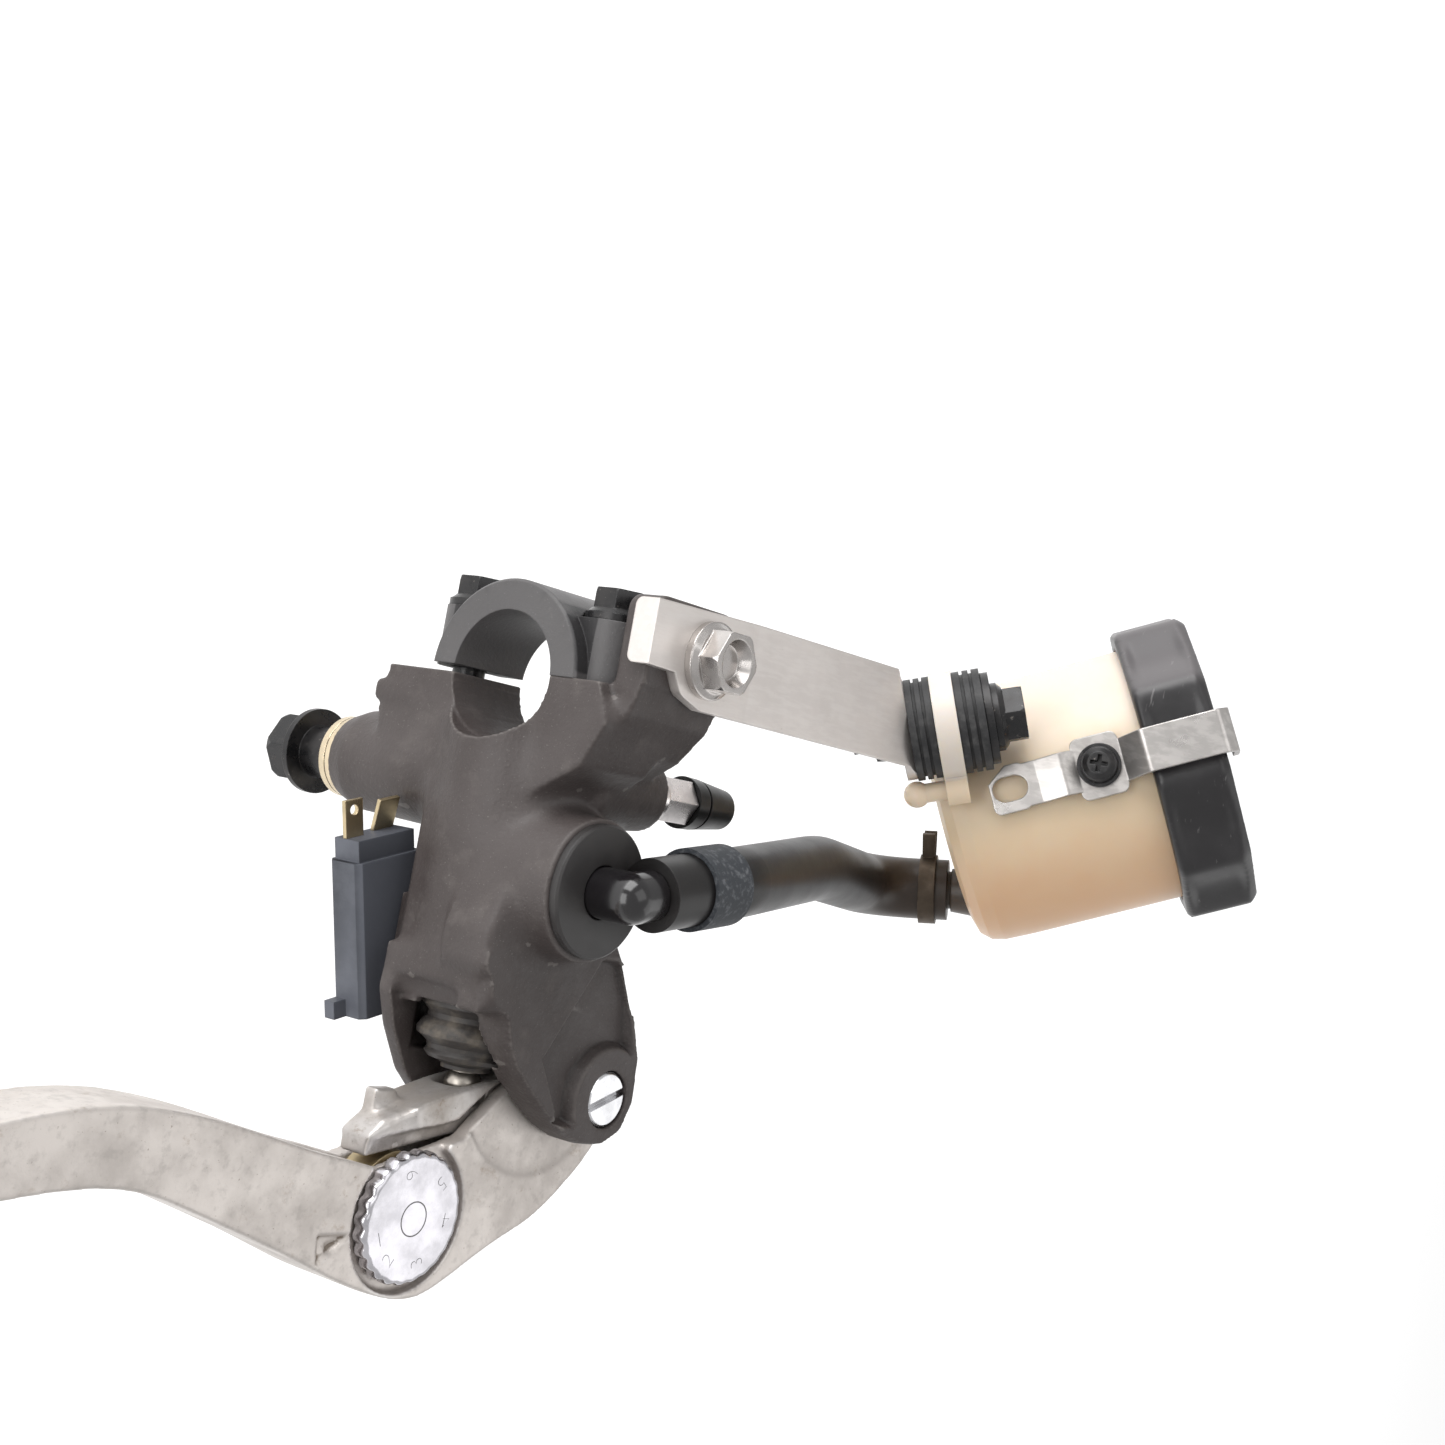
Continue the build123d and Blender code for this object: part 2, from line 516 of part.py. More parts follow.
def bracket():
    z0 = PLATE_TOP - PLATE_T
    first = slab([(8.2, -15.5), (-20.5, -16.3), (-20.5, 0.9), (-7.6, 0.9), (-1.5, -1.0), (0.9, -4.4),
                  (8.2, -4.6)], z0, PLATE_TOP)
    corner = first.edges().filter_by(Axis.Z)
    first = soften(first, [e for e in corner if (e @ 0).X > -19 and (e @ 0).X < 0.5 and (e @ 0).Y > -3], 3.0)
    tab = block(6.4, 8.2, -15.5, -4.6, z0 - 2.8, PLATE_TOP)
    tab = soften(tab, tab.faces().sort_by(Axis.Z)[0].edges().filter_by(Axis.X), 1.4)
    rise = math.tan(math.radians(3.3))
    second = slab([(0.0, -16.3), (-46.0, -16.2), (-66.0, -15.2), (-66.0, 1.4), (-45.0, 1.3), (0.0, 0.9)],
                  -PLATE_T, 0)
    second = Pos(-20.4, 0, PLATE_TOP) * Rot(0, 3.3, 0) * second
    keep = frame_at(lug_point(FLANGE_AT), LUG_AXIS)
    second -= keep.location * (Pos(0, 0, 50) * Box(160, 160, 100))
    # end flange square to the lug axis
    disc = Pos(0, 0, -PLATE_T) * Cylinder(9.6, PLATE_T, align=(Align.CENTER, Align.CENTER, Align.MIN))
    px, py = lug_peg_local()
    reach = math.hypot(px, py)
    ang = math.degrees(math.atan2(py, px))
    span = reach - 3.4
    tongue = Rot(0, 0, ang) * (Pos(span / 2, 0, -PLATE_T / 2) * Box(span, 5.0, PLATE_T))
    local = Plane(origin=lug_point(FLANGE_AT), x_dir=LUG_PLANE.x_dir, z_dir=LUG_AXIS)
    bridge = flange_bridge(local, rise)
    flange = local.location * (disc + tongue) + bridge
    over = Pos(-20.4, 0, PLATE_TOP) * Rot(0, 3.3, 0) * block(-80, 20, -40, 40, 0, 60)
    flange -= over
    body = first + tab + second + flange
    body -= rod((BRACKET_BOLT[0], BRACKET_BOLT[1], 20), (BRACKET_BOLT[0], BRACKET_BOLT[1], 40), 3.3)
    body -= rod(lug_point(FLANGE_AT - 5), lug_point(FLANGE_AT + 5), 3.3)
    return body


def flange_bridge(local, rise):
    """Plate between the end of the strap and the round end of the flange."""
    pts = []
    for y in (-15.4, 1.3):
        # where the flange face meets the top of the rising strap
        x = -60.0
        for _ in range(40):
            z = PLATE_TOP + (-20.4 - x) * rise
            gap = (Vector(x, y, z) - local.origin).dot(local.z_dir)
            x += gap / (local.z_dir.X - local.z_dir.Z * rise) * -1.0
        p = Vector(x, y, PLATE_TOP + (-20.4 - x) * rise) - local.origin
        pts.append((p.dot(local.x_dir), p.dot(local.y_dir)))
    (ax, ay), (bx, by) = pts
    mx, my = (ax + bx) / 2, (ay + by) / 2
    nx, ny = mx / math.hypot(mx, my), my / math.hypot(mx, my)
    tx, ty = -ny * 9.4, nx * 9.4
    outline = [(ax, ay), (bx, by)]
    first, second = (tx, ty), (-tx, -ty)
    if (bx - ax) * (first[0] - second[0]) + (by - ay) * (first[1] - second[1]) > 0:
        outline += [first, second]
    else:
        outline += [second, first]
    face = make_face(Polyline(*outline, close=True))
    return local.location * (Pos(0, 0, -PLATE_T) * extrude(face, PLATE_T))


def bracket_bolt():
    seat = (BRACKET_BOLT[0], BRACKET_BOLT[1], PLATE_TOP)
    return flange_bolt(seat, (0, 0, 1), 2.95, 8.3, 6.7, 10.0, 6.0, dish=2.2)


def grommet_half(s0, s1, n0, n1):
    """Rubber disc from s0 to s1 with half a neck from n0 to n1."""
    body = rod(lug_point(s0), lug_point(s1), 10.0)
    body += rod(lug_point(n0), lug_point(n1), 6.9)
    step = (s1 - s0) / 3
    for k in (1, 2):
        m = s0 + step * k
        body -= tube(lug_point(m - 0.3), lug_point(m + 0.3), 11.0, 9.3)
    body -= rod(lug_point(-20), lug_point(20), 4.1)
    return body


def grommet_inner():
    return grommet_half(-7.2, -2.25, -2.3, -0.05)


def grommet_outer():
    return grommet_half(2.25, 7.6, 0.05, 2.3)


def grommet_collar():
    return tube(lug_point(-7.2), lug_point(7.6), 4.0, 3.2)


def grommet_washer():
    return tube(lug_point(7.65), lug_point(9.2), 9.0, 3.3)


def grommet_bolt():
    return flange_bolt(lug_point(9.2), LUG_AXIS, 2.95, 28.0, 6.7, 10.0, 6.0, dish=1.0)


def grommet_nut():
    nut = hexagon(lug_point(-14.6), lug_point(-9.2), 10.0)
    nut &= rod(lug_point(-14.6), lug_point(-9.0), 5.1, 7.4)
    return nut - rod(lug_point(-20), lug_point(0), 3.0)


# ------------------------------------------------------------- brake switch
SWITCH_AT = Pos(7.8, 47.6, -19.0) * Rot(0, 0, 16.3)


def switch_body():
    case = Box(15.0, 27.6, 7.6)
    case = bevel(case, case.edges().filter_by(Axis.Y), 1.0)
    case += Pos(0, -15.6, 0) * Box(13.0, 4.0, 6.0)
    foot = Pos(8.6, 12.0, -1.6) * Box(3.2, 2.6, 2.4)
    case += foot
    case += Pos(7.2, 13.2, -1.6) * Box(6.0, 1.2, 2.4)
    body = SWITCH_AT * case
    body -= SWITCH_AT * rod((-3.0, 8.0, 0), (-3.0, 20.0, 0), 1.75)
    body -= rod((4.5, 51.0, -30), (4.5, 51.0, 0), 2.1)
    body -= rod((4.5, 51.0, -30), (4.5, 51.0, -21.4), 3.6)
    return body


def switch_terminals():
    first = Pos(4.4, -20.2, -0.6) * Box(4.0, 8.0, 0.8)
    first -= Pos(4.4, -22.4, -0.6) * Cylinder(0.9, 3.0)
    second = Pos(-3.2, -20.0, -0.8) * Rot(-20, 0, 0) * Box(4.6, 7.0, 0.8)
    cut = Pos(0, -15.6, 0) * Box(13.0, 4.0, 6.0)
    return Compound([SWITCH_AT * (first - cut), SWITCH_AT * (second - cut)])


def switch_screw():
    body = rod((4.5, 51.0, -23.4), (4.5, 51.0, -21.45), 3.3)
    body += rod((4.5, 51.0, -21.5), (4.5, 51.0, -10.0), 1.95)
    return body - Pos(4.5, 51.0, -23.4) * (Box(3.2, 0.8, 1.6) + Box(0.8, 3.2, 1.6))


def switch_plunger():
    body = rod((-3.0, 8.2, 0), (-3.0, 15.0, 0), 1.45) + Pos(-3.0, 15.0, 0) * Sphere(1.45)
    return SWITCH_AT * body


# -------------------------------------------------------------- piston train
def turned(points):
    """Solid of revolution about the bore axis from (radius, y) pairs."""
    face = make_face(Polyline(*[(p[0], p[1], 0) for p in points], close=True))
    return revolve(face, Axis.Y)


LAND_R = BORE_D / 2 - 0.08


def piston():
    f = PISTON_FRONT
    body = turned([(0, f), (7.0, f), (7.0, f + 0.9), (LAND_R, f + 0.9), (LAND_R, f + 2.2), (6.2, f + 2.2),
                   (6.2, f + 5.6), (LAND_R, f + 5.6), (LAND_R, f + 7.0), (7.2, f + 7.0), (7.2, f + 15.6),
                   (LAND_R, f + 15.6), (LAND_R, f + 17.0), (6.2, f + 17.0), (6.2, f + 20.4),
                   (LAND_R, f + 20.4), (LAND_R, f + 22.0), (5.4, f + 22.0), (5.4, f + 26.0), (0, f + 26.0)])
    return body - Pos(0, f + 26.0, 0) * Sphere(3.3)


def cup(y0, lip):
    seal = turned([(6.3, y0), (LAND_R + 0.02, y0), (LAND_R + 0.02, y0 + lip), (7.6, y0 + lip * 0.55),
                   (6.3, y0 + lip * 0.55)])
    return seal


def primary_cup():
    return cup(PISTON_FRONT + 5.5, -3.0)


def secondary_cup():
    return cup(PISTON_FRONT + 20.3, -3.0)


def return_spring():
    y0 = BORE_IN + 0.7
    y1 = PISTON_FRONT - 0.5
    wire = 0.6
    turns = 5
    height = y1 - y0 - 2 * wire
    helix = Helix(pitch=height / turns, height=height, radius=6.0)
    start = Plane(origin=helix @ 0, z_dir=helix % 0)
    coil = sweep(start * Circle(wire), path=helix)
    return Pos(0, y0 + wire, 0) * Rot(-90, 0, 0) * coil


def piston_washer():
    return tube((0, 53.15, 0), (0, 54.15, 0), BORE_D / 2 - 0.1, 5.6)


def piston_circlip():
    ring = tube((0, 54.3, 0), (0, 55.3, 0), BORE_D / 2 + 0.8, BORE_D / 2 - 1.1)
    ring -= block(-1.6, 1.6, 54.0, 56.0, 4.0, 12.0)
    return ring


def push_rod():
    y0 = PISTON_FRONT + 26.0
    rodp = Pos(0, y0, 0) * Sphere(3.2)
    rodp += rod((0, y0, 0), (0, ROD_TIP, 0), 2.4)
    rodp += Pos(0, ROD_TIP, 0) * Sphere(ROD_TIP_R)
    return rodp


def dust_boot():
    out = [(9.35, 55.7), (9.35, 57.4), (8.7, 57.9), (8.0, 58.7), (8.0, 59.6), (8.8, 60.5), (9.5, 61.7),
           (9.4, 62.6), (8.3, 63.3), (7.4, 64.0), (7.2, 64.9), (7.6, 65.6), (6.9, 66.4), (5.2, 66.9),
           (4.3, 67.3), (4.3, 68.0)]
    inn = [(2.5, 68.0), (2.5, 66.6), (3.2, 66.0), (5.6, 65.6), (6.3, 65.2), (6.1, 64.4), (6.3, 63.5),
           (7.6, 62.4), (8.3, 61.8), (7.6, 60.9), (6.9, 60.0), (6.9, 58.2), (7.4, 57.3), (7.4, 55.7)]
    return turned(out + inn)


# ------------------------------------------------------------- lever knocker
KNOCKER_NEAR = [(-10.2, 63.4), (-8.2, 66.0), (-5.4, 68.6), (-0.5, 69.2), (4.2, 70.3), (12.4, 72.7),
                (20.6, 76.0), (23.4, 78.4)]


def knocker():
    px, py = PIVOT
    tail = slab([(-22.5, 61.3), (-15.0, 61.9)] + KNOCKER_NEAR
                + [(23.4, 82.1), (13.3, 80.3), (4.0, 78.6), (-6.0, 78.6), (-22.5, 79.3)], -TAIL_Z, TAIL_Z)
    hub = rod((px, py, -TAIL_Z), (px, py, TAIL_Z), 9.0)
    body = tail + hub
    # wider upper half that meets the push rod, outside the slot of the blade
    wide = slab(KNOCKER_NEAR[2:6] + [(15.5, 73.9), (14.0, 77.2), (9.0, 76.7), (4.5, 75.7), (-1.0, 71.2)],
                -5.1, 5.1)
    body += wide
    arm = Solid.make_loft([
        Pos(0, 0, 0) * Wire.make_polygon([(13.0, 72.9, -5.1), (13.0, 77.1, -5.1), (13.0, 77.1, 5.1),
                                          (13.0, 72.9, 5.1)], close=True),
        Pos(0, 0, 0) * Wire.make_polygon([(23.4, 78.4, -3.4), (23.4, 79.3, -3.4), (23.4, 79.3, 3.4),
                                          (23.4, 78.4, 3.4)], close=True),
    ], ruled=True)
    body += arm
    # upright lug with its gusset
    lug = slab([(20.0, 76.4), (20.0, 71.6), (15.2, 71.6), (13.4, 74.4), (13.4, 76.4)], -3.1, -0.3)
    body += lug
    # seat for the push rod tip, open toward the cylinder
    seat = block(-3.8, 4.8, 60.0, ROD_TIP + ROD_TIP_R + 0.25, -3.8, 3.8)
    seat = soften(seat, seat.edges().filter_by(Axis.Y), 2.6)
    body -= seat
    body -= rod((px, py, -10), (px, py, 10), 4.66)
    return body


def blade_sections():
    near = [(-22.5, 61.0), (-14.0, 63.2), (-3.0, 71.6), (4.5, 78.4), (9.0, 79.8)]
    far = [(42.0, 79.0), (54.7, 75.8), (64.6, 73.8), (75.0, 72.7), (86.0, 73.2), (96.0, 74.8), (112.0, 77.8),
           (130.0, 79.8), (146.0, 79.8), (155.0, 79.0)]
    outer = [(155.0, 87.5), (146.0, 88.6), (130.0, 89.6), (112.0, 88.4), (96.0, 85.9), (84.7, 84.6),
             (72.0, 85.0), (59.3, 89.0), (42.1, 95.4), (30.5, 100.2), (18.0, 104.2), (11.0, 104.9),
             (3.0, 102.0), (-6.6, 96.9), (-16.3, 92.4), (-23.4, 87.0), (-29.5, 80.6), (-32.8, 73.0),
             (-31.6, 65.6), (-27.4, 61.4)]
    return near, far, outer


def lever_blade():
    px, py = PIVOT
    near, far, outer = blade_sections()
    edge1 = Polyline(*near, (22.0, 83.4), (30.0, 81.6))
    edge2 = Spline((30.0, 81.6), *far)
    edge3 = Line((155.0, 79.0), (155.0, 87.5))
    edge4 = Spline(*outer)
    edge5 = Line(outer[-1], near[0])
    face = make_face(Curve() + edge1 + edge2 + edge3 + edge4 + edge5)
    body = Pos(0, 0, -HUB_Z) * extrude(face, 2 * HUB_Z)
    tops = body.faces().sort_by(Axis.Z)[-1].edges().filter_by(GeomType.BSPLINE)
    lows = body.faces().sort_by(Axis.Z)[0].edges().filter_by(GeomType.BSPLINE)
    body = bevel(body, list(tops) + list(lows), 1.6)
    body += Pos(157.5, 83.4, 0) * Sphere(8.6)
    # slot for the knocker and the cam, open toward the cylinder
    slot = slab([(-40.0, 50.0), (-40.0, 70.0), (-31.0, 79.0), (-20.5, 84.0), (-10.0, 90.5), (0.5, 96.5),
                 (4.5, 100.0), (11.0, 101.8), (18.0, 100.0), (24.5, 96.0), (36.5, 90.0), (38.0, 84.0),
                 (35.0, 60.0)], -SLOT_Z, SLOT_Z)
    slot = soften(slot, slot.edges().filter_by(Axis.Z), 2.0)
    body -= slot
    body -= rod((DIAL[0], DIAL[1], -SLOT_Z), (DIAL[0], DIAL[1], SLOT_Z), CAM_HIGH + 1.0)
    # dial pocket and shaft holes
    pocket = rod((DIAL[0], DIAL[1], DIAL_SEAT), (DIAL[0], DIAL[1], 20), DIAL_D / 2 + 0.8)
    body -= pocket
    body -= block(DIAL[0] - 7, DIAL[0] + 9, 70, DIAL[1] - 4, DIAL_SEAT, 20)
    body -= rod((DIAL[0], DIAL[1], 0), (DIAL[0], DIAL[1], 10), 3.55)
    body -= rod((DIAL[0], DIAL[1], -10), (DIAL[0], DIAL[1], 0), 2.55)
    body -= rod((DIAL[0] + 6.0, DIAL[1], -6.8), (DIAL[0] + 6.0, DIAL[1], 0), 1.15)
    # shallow round relief beside the ear and index mark
    body -= Pos(-12.0, 66.0, HUB_Z - 0.5) * Cylinder(19.3, 2.0, align=(Align.CENTER, Align.CENTER, Align.MIN))
    mark = slab([(32.6, 94.4), (28.4, 94.2), (31.4, 97.4)], HUB_Z - 0.6, HUB_Z + 1)
    body -= mark
    body -= rod((px, py, -10), (px, py, 10), 4.68)
    return body


def pivot_bush():
    return tube((PIVOT[0], PIVOT[1], -7.5), (PIVOT[0], PIVOT[1], 7.5), 4.6, 3.1)


def pivot_bolt():
    x, y = PIVOT
    body = rod((x, y, EAR_OUT - 2.35), (x, y, EAR_OUT - 0.7), 4.9)
    body += rod((x, y, EAR_OUT - 0.75), (x, y, EAR_OUT - 0.4), 4.9, 4.5)
    body += rod((x, y, -EAR_LOW - 5.8), (x, y, EAR_OUT - 2.0), 3.0)
    slot = Pos(x, y, EAR_OUT - 0.4) * Rot(0, 0, 20) * Box(12, 1.3, 2.2)
    return body - slot


def pivot_nut():
    x, y = PIVOT
    nut = rod((x, y, -EAR_LOW - 1.3), (x, y, -EAR_LOW), 6.4)
    nut += hexagon((x, y, -EAR_LOW - 5.4), (x, y, -EAR_LOW - 1.2), 10.0)
    return nut - rod((x, y, -30), (x, y, 0), 3.02)


# ------------------------------------------------------------ reach adjuster
def adjuster_dial():
    x, y = DIAL
    disc = rod((x, y, DIAL_SEAT + 0.25), (x, y, DIAL_TOP), DIAL_D / 2)
    disc = bevel(disc, disc.faces().sort_by(Axis.Z)[-1].edges(), 0.35)
    for k in range(18):
        a = math.radians(k * 20)
        r = DIAL_D / 2 + 0.9
        disc -= rod((x + r * math.cos(a), y + r * math.sin(a), DIAL_SEAT),
                    (x + r * math.cos(a), y + r * math.sin(a), DIAL_TOP + 1), 1.5)
    disc += rod((x, y, -3.05), (x, y, DIAL_SEAT + 0.4), 3.5)
    disc += rod((x, y, -9.2), (x, y, -3.0), 2.5)
    disc -= tube((x, y, -8.5), (x, y, -7.8), 4.0, 1.9)
    return disc


def adjuster_cam():
    x, y = DIAL
    start = math.radians(-79.8)
    k = CAM_DROP / math.radians(DIAL_TURN)
    pts = []
    steps = 32
    for i in range(steps + 1):
        t = math.radians(DIAL_TURN) * i / steps
        r = CAM_HIGH - k * t
        pts.append((x + r * math.cos(start + t), y + r * math.sin(start + t)))
    t = math.radians(DIAL_TURN + 14)
    r = CAM_HIGH - CAM_DROP
    pts.append((x + r * math.cos(start + t), y + r * math.sin(start + t)))
    t = math.radians(-9)
    pts.append((x + CAM_HIGH * math.cos(start + t), y + CAM_HIGH * math.sin(start + t)))
    cam = slab(pts, -TAIL_Z + 0.1, TAIL_Z - 0.1)
    cam -= rod((x, y, -10), (x, y, 10), 3.52)
    step = DIAL_TURN / 5
    for i in range(6):
        a = math.radians(i * step)
        cam -= Pos(x + 6.0 * math.cos(a), y + 6.0 * math.sin(a), -TAIL_Z - 0.3) * Sphere(0.9)
    return cam


def dial_clip():
    x, y = DIAL
    clip = tube((x, y, -8.4), (x, y, -7.9), 4.4, 1.95)
    return clip - block(x - 1.6, x + 1.6, y - 6, y, -9, -7)


def detent_ball():
    return Pos(DIAL[0] + 6.0, DIAL[1], -4.25) * Sphere(1.0)


def detent_spring():
    helix = Helix(pitch=0.45, height=1.3, radius=0.75)
    start = Plane(origin=helix @ 0, z_dir=helix % 0)
    coil = sweep(start * Circle(0.16), path=helix)
    return Pos(DIAL[0] + 6.0, DIAL[1], -6.6) * coil


# ------------------------------------------------------------------- output
PIECES = {
    "housing": housing,
    "clamp_cap": clamp_cap,
    "clamp_bolts": clamp_bolts,
    "banjo_bolt": banjo_bolt,
    "banjo_washers": banjo_washers,
    "bleeder_screw": bleeder_screw,
    "bleeder_cap": bleeder_cap,
    "port_cover": port_cover,
    "port_elbow": port_elbow,
    "port_o_ring": port_o_ring,
    "hose": hose,
    "hose_band_clamp": hose_band_clamp,
    "hose_spring_clip": hose_spring_clip,
    "reservoir_body": reservoir_body,
    "reservoir_cap": reservoir_cap,
    "diaphragm": diaphragm,
    "diaphragm_plate": diaphragm_plate,
    "cap_clip": cap_clip,
    "clip_washer": clip_washer,
    "clip_screw": clip_screw,
    "reservoir_bracket": bracket,
    "bracket_bolt": bracket_bolt,
    "grommet_inner": grommet_inner,
    "grommet_outer": grommet_outer,
    "grommet_collar": grommet_collar,
    "grommet_washer": grommet_washer,
    "grommet_bolt": grommet_bolt,
    "grommet_nut": grommet_nut,
    "switch_body": switch_body,
    "switch_terminals": switch_terminals,
    "switch_screw": switch_screw,
    "switch_plunger": switch_plunger,
    "piston": piston,
    "primary_cup": primary_cup,
    "secondary_cup": secondary_cup,
    "return_spring": return_spring,
    "piston_washer": piston_washer,
    "piston_circlip": piston_circlip,
    "push_rod": push_rod,
    "dust_boot": dust_boot,
    "knocker": knocker,
    "lever_blade": lever_blade,
    "pivot_bush": pivot_bush,
    "pivot_bolt": pivot_bolt,
    "pivot_nut": pivot_nut,
    "adjuster_dial": adjuster_dial,
    "adjuster_cam": adjuster_cam,
    "dial_clip": dial_clip,
    "detent_ball": detent_ball,
    "detent_spring": detent_spring,
}

for name, make in PIECES.items():
    shape = make()
    export_step(shape, f"parts/{name}.step")
    print(name, round(shape.volume, 2), len(shape.solids()), shape.is_valid)
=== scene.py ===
import bpy
import bmesh
import json
import math
import numpy as np
from mathutils import Matrix, Vector


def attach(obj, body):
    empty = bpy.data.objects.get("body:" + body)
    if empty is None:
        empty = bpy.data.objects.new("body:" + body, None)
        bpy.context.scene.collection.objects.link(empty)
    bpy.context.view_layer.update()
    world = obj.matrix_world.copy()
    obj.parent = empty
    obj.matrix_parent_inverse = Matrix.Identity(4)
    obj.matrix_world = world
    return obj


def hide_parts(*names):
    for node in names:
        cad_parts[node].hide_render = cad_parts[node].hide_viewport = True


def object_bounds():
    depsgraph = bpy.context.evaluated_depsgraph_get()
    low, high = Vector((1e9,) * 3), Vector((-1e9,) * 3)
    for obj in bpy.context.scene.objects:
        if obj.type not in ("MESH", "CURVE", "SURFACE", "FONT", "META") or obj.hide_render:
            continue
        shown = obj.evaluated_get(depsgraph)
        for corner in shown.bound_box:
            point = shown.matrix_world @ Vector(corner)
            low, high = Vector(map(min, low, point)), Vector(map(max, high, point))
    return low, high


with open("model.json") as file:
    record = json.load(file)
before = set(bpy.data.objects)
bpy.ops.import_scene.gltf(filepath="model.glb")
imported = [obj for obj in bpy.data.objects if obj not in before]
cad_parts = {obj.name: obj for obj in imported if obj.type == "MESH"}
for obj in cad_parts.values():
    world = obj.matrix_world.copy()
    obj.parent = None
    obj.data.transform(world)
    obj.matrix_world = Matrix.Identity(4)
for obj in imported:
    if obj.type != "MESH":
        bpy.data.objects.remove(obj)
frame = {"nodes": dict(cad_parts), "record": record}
CAD_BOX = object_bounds()
NODES = frame["nodes"]
MM = 0.001
scene = bpy.context.scene

# --------------------------------------------------------------------------- camera
# the camera's own axes and place in the part's frame, in metres
CAM_RIGHT = (-0.58032, -0.17283, 0.79584)
CAM_UP = (0.14740, -0.98337, -0.10608)
CAM_BACK = (0.80094, 0.05575, 0.59615)
CAM_PLACE = (0.26617, 0.02128, 0.23981)
CAM_LENS = 51.07                # for a sensor 36 mm wide

cam_data = bpy.data.cameras.new("camera")
cam = bpy.data.objects.new("camera", cam_data)
scene.collection.objects.link(cam)
rows = zip(CAM_RIGHT, CAM_UP, CAM_BACK, CAM_PLACE)
cam.matrix_world = Matrix((*rows, (0, 0, 0, 1)))
cam_data.lens = CAM_LENS
cam_data.sensor_width = 36.0
cam_data.clip_start = 0.01
cam_data.clip_end = 50
scene.camera = cam
scene.view_settings.view_transform = "Standard"


